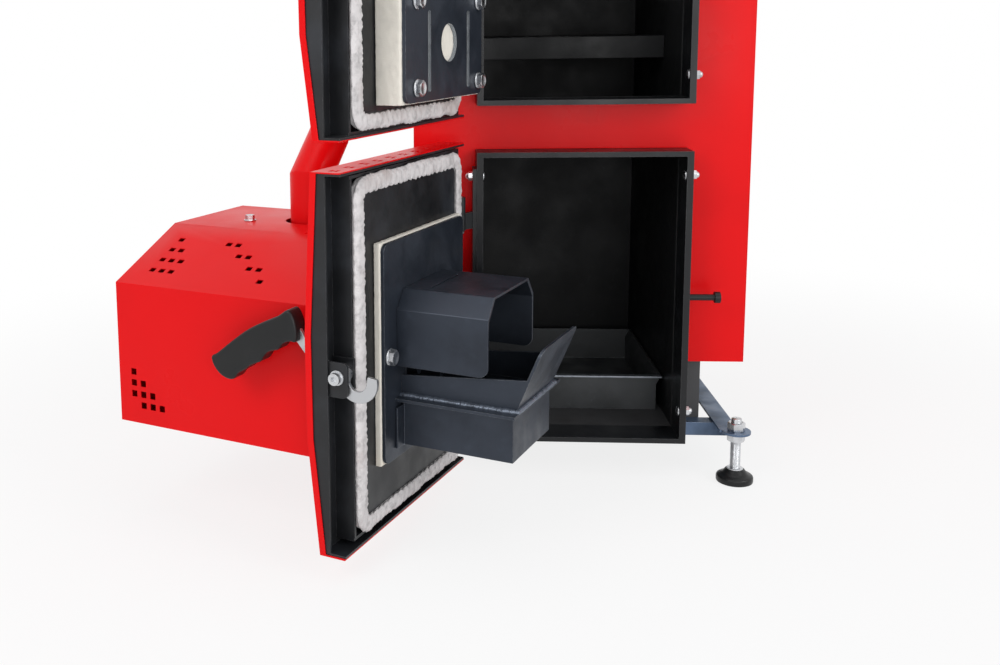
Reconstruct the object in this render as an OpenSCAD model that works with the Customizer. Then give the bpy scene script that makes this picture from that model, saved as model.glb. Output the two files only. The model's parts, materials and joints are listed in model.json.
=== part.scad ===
// Solid fuel boiler with two firing doors and a pellet burner on the lower door.
// Both doors stand open. The origin is on the floor, under the middle of the
// plane where the doors seal. X runs right, Y runs into the boiler, Z runs up.

/* [Boiler body] */
// Width of the water jacket beside each door neck
jacket_side = 33; // [27:1:40]
// Depth of the water jacket
jacket_d = 485; // [460:5:520]
// Underside of the jacket above the floor
base_z = 56; // [54:1:60]
// Height of the water space above the firebox
crown_gap = 98; // [90:2:130]
// Thickness of the jacket and firebox plates
plate_t = 6; // [4:1:8]
// Outside width of both door necks
neck_w = 330; // [326:1:334]
// Length of the door necks in front of the jacket
neck_len = 60; // [56:1:66]
// Thickness of the side walls of the necks
neck_wall = 10; // [8:1:11]
// Thickness of the top and bottom walls of the necks
neck_lid = 8; // [6:1:9]
// Outside height of the lower neck
low_neck_h = 468; // [460:2:476]
// Height of the strip between the two necks
neck_gap = 73; // [72:1:84]
// Outside height of the upper neck
up_neck_h = 393; // [380:1:400]
// Water space behind the firebox
fire_gap = 53; // [45:1:60]
// Front edge of the upper water shelf behind the sealing plane
shelf_y = 200; // [180:5:240]
// Thickness of the water shelves
shelf_h = 37; // [30:1:42]

/* [Casing] */
// Space between the jacket and each side of the painted casing
casing_side = 66; // [62:1:82]
// Underside of the casing above the floor
casing_z = 176; // [150:2:200]
// Space between the jacket and the top of the casing
top_gap = 20; // [16:1:40]
// Thickness of the casing sheets
sheet_t = 1.5; // [1:0.1:2]
// Depth of the insulation behind the jacket
back_gap = 58; // [50:1:70]

/* [Hinges and doors] */
// Opening angle of both doors
door_open = 114.5; // [108:0.5:118]
// Distance of the hinge line left of the middle
hinge_x = 192; // [190:1:195]
// Distance of the hinge line in front of the sealing plane
hinge_y = 16; // [15.5:0.1:17]
// Diameter of the hinge pins
pin_d = 10; // [8:1:12]
// Outside diameter of the hinge knuckles
knuckle_d = 18; // [16:1:19]
// Width of the door covers
cover_w = 397; // [394:1:400]
// Thickness of the door cover sheet
cover_t = 2; // [1.5:0.1:2.5]
// Greatest bulge of the door covers in front of the hinge line
cover_bulge = 45; // [43:1:48]
// Thickness of the door pan sheet
pan_t = 3; // [2:0.5:4]
// Diameter of the sealing rope
rope_d = 21.4; // [20:0.2:22]

/* [Burner] */
// Distance of the burner centre from the hinge line
burner_a = 189; // [184:1:192]
// Outside width of the burner hood
hood_w = 173; // [166:1:178]
// Top of the burner hood above the floor
hood_top = 369; // [360:1:376]
// Length of the burner hood in front of its plate
hood_len = 132; // [120:1:140]
// Outside width of the burner trough
trough_w = 146; // [140:1:150]
// Length of the burner trough in front of its plate
trough_len = 165; // [155:1:168]
// Height of the box under the trough
box_h = 67; // [55:1:68]
// Underside of the box above the floor
box_z = 149; // [146:1:155]
// Width of the burner casing
case_w = 340; // [330:1:344]
// Front of the burner casing from the hinge line
case_b = 400; // [390:1:410]
// Underside of the burner casing above the floor
case_z = 143; // [140:1:150]
// Height of the burner casing
case_h = 277; // [270:1:284]
// Outside diameter of the feed tube
tube_d = 66; // [60:1:70]

/* [Latches] */
// Distance of the latches from the hinge line
latch_a = 388; // [386:1:390]
// Latch pivot above the foot of the lower neck
low_latch_up = 222; // [214:1:234]
// Latch pivot above the foot of the upper neck
up_latch_up = 200; // [184:1:212]
// Thickness of the latch lever
lever_t = 6; // [4:1:6]
// Width of the hand grips
grip_w = 28; // [24:1:30]

/* [Ash drawer] */
// Space on each side of the ash drawer body
drawer_side = 10; // [9:0.5:14]
// Space behind the ash drawer
drawer_back = 41; // [20:1:60]
// Height of the ash drawer
drawer_h = 61; // [55:1:64]
// Front of the ash drawer behind the sealing plane
drawer_y = 140; // [130:1:150]

/* [Feet and rails] */
// Width of the flanges of the base rails
rail_w = 30; // [28:1:32]
// Thickness of the base rails
rail_t = 4; // [3:0.5:5]
// Space between the jacket and each base rail
rail_gap = 17; // [15:1:22]
// Top of the base rails above the floor
rail_z = 84; // [80:1:90]
// Width of the foot pads
pad_d = 56; // [50:1:60]

/* [Connections] */
// Outside diameter of the flue outlet
flue_d = 160; // [150:1:170]
// Flue centre below the top of the firebox
flue_drop = 106; // [100:1:116]
// Outside diameter of the water sockets
socket_d = 50; // [46:1:54]
// Bore of the water sockets
socket_bore = 38; // [34:1:40]

/* [Hidden] */
$fn = 64;

// Shared allowances
over = 1;
soft_gap = 0.3;
fit_gap = 0.05;
far = 900;

// Derived places of the body
neck_half = neck_w / 2;
mouth_half = neck_half - neck_wall;
low_z0 = base_z;
low_z1 = low_z0 + low_neck_h;
up_z0 = low_z1 + neck_gap;
up_z1 = up_z0 + up_neck_h;
jacket_w = neck_w + 2 * jacket_side;
jacket_y1 = neck_len + jacket_d;
fire_y0 = neck_len + plate_t;
fire_y1 = jacket_y1 - 2 * plate_t - fire_gap;
fire_z0 = base_z + neck_lid;
fire_top = up_z1 + plate_t;
jacket_top = fire_top + crown_gap + plate_t;
case_half = jacket_w / 2 + casing_side;
case_top = jacket_top + top_gap;
rails_w = jacket_w + 2 * rail_w + 2 * rail_gap;
flue_z = fire_top - flue_drop;
low_latch_z = low_z0 + low_latch_up;
up_latch_z = up_z0 + up_latch_up;
drawer_w = neck_w - 2 * neck_wall - 2 * drawer_side;
drawer_d = fire_y1 - drawer_back - drawer_y;
front_set = 5;
front_y = neck_len - front_set - sheet_t;
back_y = jacket_y1 + back_gap;
seal_in = neck_wall / 2;
shelf_low_drop = 6;
shelf_low_gap = 114;
shelf_low_y = fire_y0;
shelf_low_y1 = fire_y1 - shelf_low_gap;
shelf_up_z = up_z0 + 0.163 * up_neck_h;

// Bolts of the necks
bolt_y = 14;
bolt_head_d = 16;
bolt_head_h = 3.5;
bolt_d = 8;
nut_d = 15;
nut_h = 7;
nut_dome = 5;
bolt_zs = [low_z0 + 0.107 * low_neck_h, low_z1 - 0.081 * low_neck_h,
    up_z0 + 0.11 * up_neck_h, up_z1 - 0.11 * up_neck_h];

// Hinges
strip_t = 6;
strip_y0 = 2;
strip_d = 42;
strip_in = 26;
knuckle_h = 26;
knuckle_gap = 0.5;
knuckle_share = 0.2;
pin_head_d = 14;
pin_head_h = 4;
lug_t = 6;

// Door cover, share of its height where the sheet is bent
cover_a0 = 5;
cover_drop_low = 23;
cover_rise_low = 19;
cover_drop_up = 16;
cover_rise_up = 18;
cover_back = 10;
bend_shares = [0.31, 0.58];
cover_low_in = 17;
cover_mid_in = 1;
cover_top_in = 12;
cover_low_b = cover_bulge - cover_low_in;
cover_mid_b = cover_bulge - cover_mid_in;
cover_top_b = cover_bulge - cover_top_in;
side_lip = 9;
flange_slot_l = 12;
flange_slot_w = 4;
flange_slot_n = 10;
flange_slot_gap = 8;

// Door pan, from the hinge line
pan_edge = 2;
pan_b = 25;
rim_b = 13;
chan_t = 4;
chan_b = 6;
chan_b_lids = 5;
tray_b = 10;
rope_corner = 20;
rope_r = rope_d / 2;
rope_y = hinge_y - soft_gap - rope_r;
rope_a0 = hinge_x - neck_half + seal_in;
rope_a1 = hinge_x + neck_half - seal_in;
lid_in = neck_lid / 2;
chan_floor_y = rope_y - rope_r - soft_gap;

// Burner plate and insulation
board_a0 = 44;
board_a1 = 314;
board_z0 = 132;
board_z1 = 440;
board_t = 10;
bplate_t = 5;
bplate_in = 2;
bplate_r = 12;
bbolt_z = 283;
bbolt_off = 109;
bbolt_d = 12;
bwasher_d = 24;
bwasher_t = 2.5;
bhead_flats = 19;
bhead_d = bhead_flats / cos(30);
bhead_h = 7.5;
hole_gap = 0.3;
bplate_y0 = tray_b + board_t;
bplate_y = bplate_y0 + bplate_t;

// Hood and trough
burn_t = 4;
hood_z0 = 264;
hood_cut_z = 26;
hood_cut_a = 21;
hood_corner = 14;
hood_slit_b = 32;
hood_slit_w = 3;
hood_slit_in = 40;
collar_h = 4;
trough_z = box_z + box_h + collar_h;
trough_rise0 = 28;
trough_rise1 = 45;
collar_over = 19;
collar_lip = 6;
lip_h = 88;
lip_lean = 37;
lip_r = 14;
tab_w = 20;
tab_h = 58;
tab_t = 4;

// Burner body behind the door
duct_w = 118;
duct_z0 = 160;
duct_z1 = 336;
duct_gap = 0.3;
body_a0 = 50;
body_a1 = 268;
body_z0 = 180;
body_z1 = 300;
body_b1 = 290;
body_t = 3;
auger_z = 236;
auger_r = 24;
auger_shaft = 8;
auger_pitch = 48;
auger_b0 = -18;
auger_b1 = 284;
auger_vane = 3;
fan_a = 218;
fan_b = 110;
fan_r = 48;
fan_h = 46;
fan_t = 2;
fan_eye = 22;
fan_boss = 9;
fan_shaft = 4;
impeller_r = 38;
impeller_h = 30;
blade_n = 12;
blade_t = 1.5;
hub_r = 14;

// Burner casing
bc_t = 1.5;
bc_a0 = 10;
bc_bevel_a = 148;
bc_bevel_z = 65;
sq = 9.5;
sq_pitch = 16.8;
sq_slope = 24.5;
sq_g1 = [[0, 0], [1, 0], [1, 1], [2, 0], [2, 1], [2, 2], [3, 0], [3, 1], [3, 2]];
sq_g2 = [[0, 0], [0, 1], [1, 2], [1, 3], [2, 4], [2, 5], [3, 6]];
sq_g3 = [[0, 3], [0, 2], [1, 2], [0, 1], [1, 1], [2, 1], [1, 0], [2, 0], [3, 0]];
sq1_in = 42;
sq2_in = 130;
sq3_in = 27;
sq3_up = 28;
sq1_b = case_b - sq1_in;
sq2_b = case_b - sq2_in;
sq3_b = case_b - sq3_in;
sq_first = 39;
sq3_z = case_z + sq3_up;
screw_a = 135;
screw_b = 302;
screw_d = 8;
screw_head_d = 15;
screw_head_h = 8;
tube_a = 90;
tube_b = 215;
tube_t = 2;
tube_hole = 41;
tube_bend_z = 488;
tube_leg = 87;

// Latch
pivot_y = -1;
hook_reach = 27;
throat_r = 13;
hook_r = 28;
hook_top = 10.5;
hook_dir = -8;
boss_r = 15;
lbolt_d = 10;
lbolt_head_d = 16;
lbolt_head_h = 8;
lbolt_socket = 8;
lbolt_deep = 4;
lwasher_t = 2;
lwasher_d = 20;
bracket_t = 4;
bracket_gap = 1;
bracket_low = 23;
bracket_high = 20;
bracket_front = 20;
bracket_back = 11;
bracket_nose = 15;
bracket_r = 8;
slot_low = 15;
slot_high = 76;
slot_gap = 3;
latch_reach = 200;
arm_shares = [[-0.02, 0.06], [-0.13, 0.11], [-0.24, 0.21], [-0.31, 0.32], [-0.42, 0.31],
    [-0.46, 0.21], [-0.31, 0.19], [-0.22, 0.085], [-0.135, 0.005], [-0.06, -0.045]];
grip_shares = [[-0.35, 0.41], [-0.43, 0.36], [-0.57, 0.295], [-0.685, 0.23],
    [-0.8, 0.145], [-0.92, 0.05], [-0.965, 0.02], [-0.95, -0.04], [-0.9, -0.095],
    [-0.84, -0.12], [-0.79, -0.115], [-0.75, -0.07], [-0.7, -0.04], [-0.655, -0.005],
    [-0.605, 0.02], [-0.565, 0.04], [-0.525, 0.095], [-0.48, 0.12], [-0.43, 0.135],
    [-0.39, 0.18], [-0.34, 0.2], [-0.29, 0.205], [-0.285, 0.275], [-0.305, 0.36]];
pin_out = 49;
pin_dz = 14;
pin_y = 14;
stud_d = 10;
stud_head_d = 18;
stud_head_h = 9;

// Upper door lining
up_board_z = 23;
up_step_b = 18;
up_board_b = 48;
up_plate_t = 5;
up_plate_in = 4;
up_hole_a = 162;
up_hole_z = 101;
up_hole_r = 26;
up_slot_a = 227;
up_slot_a2 = 95;
up_slot_z0 = 37;
up_slot_w = 9;
up_slot_l = 107;
up_bolt_as = [60, 267];
up_bolt_zs = [44, 157, 300];
up_a1 = 304;

// Drawer
drawer_t = 3;
drawer_flare_z = 44;
drawer_lip = 8;
drawer_gap = 0.3;
drawer_pull = 9;

// Feet and rails, the left front foot clears the open door
foot_in = 5;
foot_x = rails_w / 2 - foot_in;
foot_y0 = -10;
foot_left_y0 = 34;
foot_back = 41;
foot_y1 = jacket_y1 + foot_back;
foot_places = [[foot_x, foot_y0], [-foot_x, foot_left_y0], [foot_x, foot_y1],
    [-foot_x, foot_y1]];
stud_foot_d = 16;
foot_top = 104;
pad_h = 21;
pad_neck_d = 30;
pad_neck_h = 9;
foot_flats = 24;
foot_nut_d = foot_flats / cos(30);
foot_nut_h = 13;
foot_end_r = 22;
angle_h = 22;
angle_w = 25;
angle_t = 4;
angle_y = 36;
angle_left_y = 64;

// Connections and controller
flue_t = 3;
flue_out = 57;
flue_flange_d = 200;
flue_flange_t = 4;
return_up = 204;
flow_down = 90;
socket_zs = [base_z + return_up, jacket_top - flow_down];
socket_x = 140;
socket_out = 30;
ctrl_w = 250;
ctrl_y = 75;
ctrl_d = 150;
ctrl_h = 90;
ctrl_front_h = 28;
ctrl_top_d = 60;
disp_w = 90;
disp_h = 50;
disp_t = 2;
knob_d = 30;
knob_h = 14;
knob_shaft = 8;
knob_deep = 10;
switch_w = 22;
switch_h = 30;
switch_t = 6;
switch_gap = 0.6;
switch_x = ctrl_w * 0.09;
switch_pin_d = 3;
switch_pin_out = 3;
switch_sink = 2.5;
ctrl_slope = atan2(ctrl_h - ctrl_front_h, ctrl_d - ctrl_top_d);
ctrl_mid_y = ctrl_y + (ctrl_d - ctrl_top_d) / 2;
ctrl_mid_z = case_top + (ctrl_h + ctrl_front_h) / 2;

low_c0 = low_z0 - cover_drop_low;
low_c1 = low_z1 + cover_rise_low;
up_c0 = up_z0 - cover_drop_up;
up_c1 = up_z1 + cover_rise_up;

// Box between two corners
module block(p, q) {
    translate(p)
        cube(q - p);
}

// Outline drawn in Y and Z, extruded along X from x0
module side_plate(x0, t) {
    translate([x0, 0, 0])
        rotate([90, 0, 90])
            linear_extrude(t)
                children();
}

// Outline drawn in X and Z, extruded along Y from y0
module front_plate(y0, t) {
    translate([0, y0 + t, 0])
        rotate([90, 0, 0])
            linear_extrude(t)
                children();
}

// Rod along X, Y or Z
module rod_x(p, d, len) {
    translate(p)
        rotate([0, 90, 0])
            cylinder(h = len, d = d);
}
module rod_y(p, d, len) {
    translate(p)
        rotate([-90, 0, 0])
            cylinder(h = len, d = d);
}
module hex_y(p, d, len) {
    translate(p)
        rotate([-90, 0, 0])
            cylinder(h = len, d = d, $fn = 6);
}

// Place of an open door: x runs from the hinge line, y runs inwards
module on_door() {
    translate([-hinge_x, -hinge_y, 0])
        rotate([0, 0, -door_open])
            children();
}

// Square with four round corners
module round_rect(p, q, r) {
    translate(p + [r, 0])
        square(q - p - [2 * r, 0]);
    translate(p + [0, r])
        square(q - p - [0, 2 * r]);
    for (x = [p[0] + r, q[0] - r])
        for (z = [p[1] + r, q[1] - r])
            translate([x, z])
                circle(r);
}

// ---------- Boiler body ----------

module outer_shell() {
    color("#3a3a3d")
    difference() {
        block([-jacket_w / 2, neck_len, base_z], [jacket_w / 2, jacket_y1, jacket_top]);
        block([-jacket_w / 2 + plate_t, neck_len + plate_t, base_z + neck_lid],
            [jacket_w / 2 - plate_t, jacket_y1 - plate_t, jacket_top - plate_t]);
        block([-mouth_half, neck_len - over, low_z0 + neck_lid],
            [mouth_half, fire_y0 + over, low_z1 - neck_lid]);
        block([-mouth_half, neck_len - over, up_z0 + neck_lid],
            [mouth_half, fire_y0 + over, up_z1 - neck_lid]);
        rod_y([0, jacket_y1 - plate_t - over, flue_z], flue_d + 2 * fit_gap,
            plate_t + 2 * over);
        for (z = socket_zs)
            rod_y([socket_x, jacket_y1 - plate_t - over, z], socket_bore + over,
                plate_t + 2 * over);
    }
}

module firebox() {
    color("#2b2b2d")
    difference() {
        block([-mouth_half - plate_t, fire_y0, fire_z0],
            [mouth_half + plate_t, fire_y1 + plate_t, fire_top]);
        block([-mouth_half, fire_y0 - over, fire_z0 - over],
            [mouth_half, fire_y1, fire_top - plate_t]);
        rod_y([0, fire_y1 - over, flue_z], flue_d + 2 * fit_gap, plate_t + 2 * over);
    }
}

module neck(z0, z1) {
    difference() {
        block([-neck_half, 0, z0], [neck_half, neck_len, z1]);
        block([-mouth_half, -over, z0 + neck_lid],
            [mouth_half, neck_len + over, z1 - neck_lid]);
        for (z = bolt_zs)
            rod_x([-neck_half - over, bolt_y, z], bolt_d + 2 * fit_gap,
                neck_w + 2 * over);
    }
}

module lower_neck() {
    color("#2e2e31")
    neck(low_z0, low_z1);
}

module upper_neck() {
    color("#2e2e31")
    neck(up_z0, up_z1);
}

module shelf(y0, y1, z0) {
    difference() {
        block([-mouth_half, y0, z0], [mouth_half, y1, z0 + shelf_h]);
        block([-mouth_half - over, y0 + plate_t, z0 + plate_t],
            [mouth_half + over, y1 - plate_t, z0 + shelf_h - plate_t]);
    }
}

module lower_water_shelf() {
    color("#2a2a2c")
    shelf(shelf_low_y, shelf_low_y1, low_z1 + shelf_low_drop);
}

module upper_water_shelf() {
    color("#2a2a2c")
    shelf(shelf_y, fire_y1, shelf_up_z);
}

module front_panel() {
    color("#d8141a")
    difference() {
        block([-case_half + sheet_t, front_y, casing_z],
            [case_half - sheet_t, front_y + sheet_t, case_top]);
        block([-neck_half, front_y - over, low_z0], [neck_half, front_y + sheet_t + over, low_z1]);
        block([-neck_half, front_y - over, up_z0], [neck_half, front_y + sheet_t + over, up_z1]);
        block([-neck_half, front_y - over, 0], [neck_half, front_y + sheet_t + over, low_z0 + over]);
    }
}

module wall_panel(x0) {
    block([x0, front_y, casing_z], [x0 + sheet_t, back_y + sheet_t, case_top]);
}

module left_panel() {
    color("#d8141a")
    wall_panel(-case_half);
}

module right_panel() {
    color("#d8141a")
    wall_panel(case_half - sheet_t);
}

module back_panel() {
    color("#c81218")
    difference() {
        block([-case_half + sheet_t, back_y, casing_z],
            [case_half - sheet_t, back_y + sheet_t, case_top]);
        rod_y([0, back_y - over, flue_z], flue_d + 2 * fit_gap, sheet_t + 2 * over);
        for (z = socket_zs)
            rod_y([socket_x, back_y - over, z], socket_d + 2 * hole_gap, sheet_t + 2 * over);
    }
}

module top_panel() {
    color("#d8141a")
    block([-case_half + sheet_t, front_y + sheet_t, case_top - sheet_t],
        [case_half - sheet_t, back_y, case_top]);
}

module casing_insulation() {
    color("#c9b25c")
    difference() {
        block([-case_half + sheet_t, neck_len, casing_z],
            [case_half - sheet_t, back_y, case_top - sheet_t]);
        block([-jacket_w / 2, neck_len - over, 0], [jacket_w / 2, jacket_y1, jacket_top]);
        rod_y([0, jacket_y1 - over, flue_z], flue_d + 2 * fit_gap, back_gap + 2 * over);
        for (z = socket_zs)
            rod_y([socket_x, jacket_y1 - over, z], socket_d + 2 * fit_gap, back_gap + 2 * over);
    }
}

// Heights of the middle of both hinge groups of a door
function hinge_zs(z0, z1) = [z0 + knuckle_share * (z1 - z0), z1 - knuckle_share * (z1 - z0)];

module body_knuckle(z) {
    difference() {
        translate([-hinge_x, -hinge_y, z - knuckle_h])
            union() {
                cylinder(h = knuckle_h, d = knuckle_d);
                linear_extrude(knuckle_h)
                    polygon([[0, knuckle_d / 2 - lug_t], [lug_t / 2, 0],
                        [hinge_x - neck_half - strip_t, hinge_y + strip_y0],
                        [hinge_x - neck_half, hinge_y + strip_y0],
                        [hinge_x - neck_half, hinge_y + strip_y0 + 2 * lug_t],
                        [hinge_x - neck_half - strip_t, hinge_y + strip_y0 + 2 * lug_t],
                        [0, knuckle_d / 2]]);
            }
        translate([-hinge_x, -hinge_y, z - knuckle_h - over])
            cylinder(h = knuckle_h + 2 * over, d = pin_d);
    }
}

module hinge_plates() {
    color("#1b1b1d")
    for (s = [[low_z0, low_z1], [up_z0, up_z1]]) {
        difference() {
            block([-neck_half - strip_t, strip_y0, s[0] + strip_in],
                [-neck_half, strip_y0 + strip_d, s[1] - strip_in]);
            for (z = bolt_zs)
                rod_x([-neck_half - strip_t - over, bolt_y, z], bolt_d + 2 * fit_gap,
                    strip_t + 2 * over);
        }
        for (z = hinge_zs(s[0], s[1]))
            body_knuckle(z);
    }
}

module hinge_pins() {
    color("#b9bcc0")
    for (s = [[low_z0, low_z1], [up_z0, up_z1]])
        for (z = hinge_zs(s[0], s[1]))
            translate([-hinge_x, -hinge_y, z - knuckle_h - knuckle_gap - pin_head_h]) {
                translate([0, 0, pin_head_h + knuckle_gap])
                    cylinder(h = 2 * knuckle_h + knuckle_gap, d = pin_d);
                cylinder(h = pin_head_h + knuckle_gap, d = pin_head_d);
            }
}

module neck_bolts() {
    color("#c7cacf")
    for (z = bolt_zs)
        for (m = [0, 1])
            mirror([m, 0, 0]) {
                rod_x([mouth_half, bolt_y, z], bolt_d,
                    neck_wall + (m == 1 ? strip_t : 0) + nut_h);
                translate([mouth_half - bolt_head_h, bolt_y, z])
                    rotate([0, 90, 0])
                        cylinder(h = bolt_head_h, d1 = bolt_head_d * 0.6, d2 = bolt_head_d);
            }
}

module neck_nuts() {
    color("#d4d6da")
    for (z = bolt_zs)
        for (m = [0, 1])
            mirror([m, 0, 0])
                translate([neck_half + (m == 1 ? strip_t : 0), bolt_y, z])
                    rotate([0, 90, 0])
                        difference() {
                            union() {
                                cylinder(h = nut_h, d = nut_d, $fn = 6);
                                translate([0, 0, nut_h])
                                    cylinder(h = nut_dome, d1 = nut_d * 0.8, d2 = nut_d * 0.4);
                            }
                            translate([0, 0, -over])
                                cylinder(h = nut_h + over, d = bolt_d + 2 * fit_gap);
                        }
}

module latch_pins() {
    color("#151517")
    for (z = [low_latch_z, up_latch_z]) {
        rod_x([neck_half, pin_y, z + pin_dz], stud_d, pin_out);
        rod_x([neck_half + pin_out - stud_head_h, pin_y, z + pin_dz], stud_head_d, stud_head_h);
    }
}

// Angle rail with a round end plate at each foot, y0 is the place of the front foot
module base_rail(y0) {
    block([rails_w / 2 - rail_w, y0 + foot_end_r, rail_z - rail_t],
        [rails_w / 2, foot_y1 - foot_end_r, rail_z]);
    block([rails_w / 2 - rail_t, y0 + foot_end_r, rail_z - rail_w],
        [rails_w / 2, foot_y1 - foot_end_r, rail_z - rail_t]);
    for (y = [y0, foot_y1])
        difference() {
            union() {
                translate([foot_x, y, rail_z - rail_t])
                    cylinder(h = rail_t, r = foot_end_r);
                block([rails_w / 2 - rail_w, min(y, foot_y1 - foot_end_r), rail_z - rail_t],
                    [rails_w / 2, max(y, y0 + foot_end_r), rail_z]);
            }
            translate([foot_x, y, rail_z - rail_t - over])
                cylinder(h = rail_t + 2 * over, d = stud_foot_d + 2 * fit_gap);
        }
}

module base_rails() {
    color("#8d9399")
    for (m = [0, 1])
        mirror([m, 0, 0])
            base_rail(m == 1 ? foot_left_y0 : foot_y0);
}

module angle_bar(x0, x1, y0, z1) {
    block([x0, y0, z1 - angle_t], [x1, y0 + angle_w, z1]);
    block([x0, y0, z1 - angle_h], [x1, y0 + angle_t, z1 - angle_t]);
}

module support_angles() {
    color("#3a3d42")
    union() {
        angle_bar(neck_half, rails_w / 2 - rail_t, angle_y - over, rail_z - rail_t);
        angle_bar(-rails_w / 2 + rail_t, -jacket_w / 2, angle_left_y, rail_z - rail_t);
        angle_bar(-rails_w / 2 + rail_t, rails_w / 2 - rail_t, jacket_y1, rail_z - rail_t);
    }
}

module levelling_feet() {
    color("#1c1c1e")
    for (p = foot_places)
        translate([p[0], p[1], 0]) {
            cylinder(h = pad_h - pad_neck_h, d = pad_d);
            translate([0, 0, pad_h - pad_neck_h])
                cylinder(h = pad_neck_h, d1 = pad_d * 0.8, d2 = pad_neck_d);
            translate([0, 0, pad_h])
                cylinder(h = foot_top - pad_h, d = stud_foot_d);
        }
}

module foot_nuts() {
    color("#c9ccd1")
    for (p = foot_places)
        for (z = [rail_z - rail_t - foot_nut_h, rail_z])
            translate([p[0], p[1], z])
                difference() {
                    cylinder(h = foot_nut_h, d = foot_nut_d, $fn = 6);
                    translate([0, 0, -over])
                        cylinder(h = foot_nut_h + 2 * over, d = stud_foot_d + 2 * fit_gap);
                }
}

module flue_outlet() {
    color("#2c2c2f")
    difference() {
        union() {
            rod_y([0, fire_y1, flue_z], flue_d, back_y + sheet_t + flue_out - fire_y1);
            rod_y([0, back_y + sheet_t, flue_z], flue_flange_d, flue_flange_t);
        }
        rod_y([0, fire_y1 - over, flue_z], flue_d - 2 * flue_t, far);
    }
}

module water_sockets() {
    color("#84888e")
    for (z = socket_zs)
        difference() {
            rod_y([socket_x, jacket_y1, z], socket_d, back_y + socket_out - jacket_y1);
            rod_y([socket_x, jacket_y1 - over, z], socket_bore, far);
        }
}

module on_slope() {
    translate([0, ctrl_mid_y, ctrl_mid_z])
        rotate([ctrl_slope, 0, 0])
            children();
}

module controller_housing() {
    color("#26282b")
    difference() {
        side_plate(-ctrl_w / 2, ctrl_w)
            polygon([[ctrl_y, case_top], [ctrl_y + ctrl_d, case_top],
                [ctrl_y + ctrl_d, case_top + ctrl_h],
                [ctrl_y + ctrl_d - ctrl_top_d, case_top + ctrl_h],
                [ctrl_y, case_top + ctrl_front_h]]);
        on_slope() {
            translate([ctrl_w / 4, 0, -knob_deep - over])
                cylinder(h = knob_deep + 2 * over, d = knob_shaft + 2 * fit_gap);
            block([-ctrl_w / 4 - disp_w / 2, -disp_h / 2, -disp_t],
                [-ctrl_w / 4 + disp_w / 2, disp_h / 2, over]);
            block([switch_x - switch_w / 2 - switch_gap, -switch_h / 2 - switch_gap,
                -switch_t - switch_gap],
                [switch_x + switch_w / 2 + switch_gap, switch_h / 2 + switch_gap, over]);
            rod_x([switch_x - switch_w / 2 - switch_pin_out - switch_gap, 0, -switch_sink],
                switch_pin_d + 2 * fit_gap, switch_w + 2 * switch_pin_out + 2 * switch_gap);
        }
    }
}

module controller_display() {
    color("#3f6f86")
    on_slope()
        block([-ctrl_w / 4 - disp_w / 2, -disp_h / 2, -disp_t],
            [-ctrl_w / 4 + disp_w / 2, disp_h / 2, 0]);
}

module controller_knob() {
    color("#111113")
    on_slope()
        translate([ctrl_w / 4, 0, 0]) {
            translate([0, 0, soft_gap])
                cylinder(h = knob_h, d = knob_d);
            translate([0, 0, -knob_deep + soft_gap])
                cylinder(h = knob_deep, d = knob_shaft);
        }
}

module power_switch() {
    color("#c41f1f")
    on_slope() {
        block([switch_x - switch_w / 2, -switch_h / 2, -switch_t / 2],
            [switch_x + switch_w / 2, switch_h / 2, switch_t / 2]);
        rod_x([switch_x - switch_w / 2 - switch_pin_out, 0, -switch_sink],
            switch_pin_d, switch_w + 2 * switch_pin_out);
    }
}

// ---------- Ash drawer ----------

module drawer_outline(t) {
    w = drawer_w / 2;
    z0 = fire_z0 + drawer_gap;
    polygon([[-w + t, z0 + t], [w - t, z0 + t], [w - t, z0 + drawer_flare_z],
        [w + drawer_lip - t, z0 + drawer_h + t], [-w - drawer_lip + t, z0 + drawer_h + t],
        [-w + t, z0 + drawer_flare_z]]);
}

module ash_drawer() {
    color("#4a4d50")
    union() {
        difference() {
            front_plate(drawer_y, drawer_d)
                drawer_outline(0);
            front_plate(drawer_y + drawer_t, drawer_d - 2 * drawer_t)
                drawer_outline(drawer_t);
        }
        // folded lip that the drawer is pulled by
        block([-drawer_w / 2 - drawer_lip, drawer_y - drawer_pull,
            fire_z0 + drawer_gap + drawer_h - drawer_t],
            [drawer_w / 2 + drawer_lip, drawer_y, fire_z0 + drawer_gap + drawer_h]);
    }
}

// ---------- Doors ----------

// Outer face of a cover, from bottom to top, moved inwards by t
function face_pts(z0, z1, t) = [[-cover_low_b + t, z0],
    [-cover_mid_b + t, z0 + bend_shares[0] * (z1 - z0)],
    [-cover_bulge + t, z0 + bend_shares[1] * (z1 - z0)], [-cover_top_b + t, z1]];

module cover_solid(z0, z1) {
    side_plate(cover_a0, cover_w)
        polygon(concat([[cover_back, z0]], face_pts(z0, z1, 0), [[cover_back, z1]]));
}

module door_cover(z0, z1, latch_z) {
    difference() {
        union() {
            difference() {
                cover_solid(z0, z1);
                side_plate(cover_a0 - over, cover_w + 2 * over)
                    polygon(concat([[cover_back + over, z0 + cover_t]],
                        [for (p = face_pts(z0 + cover_t, z1 - cover_t, cover_t)) p],
                        [[cover_back + over, z1 - cover_t]]));
            }
            for (x = [cover_a0, cover_a0 + cover_w - cover_t])
                side_plate(x, cover_t)
                    polygon([for (p = face_pts(z0, z1, 0)) p, face_pts(z0, z1, side_lip)[3],
                        face_pts(z0, z1, side_lip)[2], face_pts(z0, z1, side_lip)[1],
                        face_pts(z0, z1, side_lip)[0]]);
        }
        for (i = [0 : flange_slot_n - 1])
            for (k = [-1, 1])
                translate([cover_a0 + (i + 0.5) * cover_w / flange_slot_n, 0, z1 - cover_t])
                    translate([-flange_slot_l / 2, k * flange_slot_gap / 2 - flange_slot_gap
                        - flange_slot_w / 2, -over])
                        cube([flange_slot_l, flange_slot_w, cover_t + 2 * over]);
        arm_slot(latch_z);
    }
}

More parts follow.
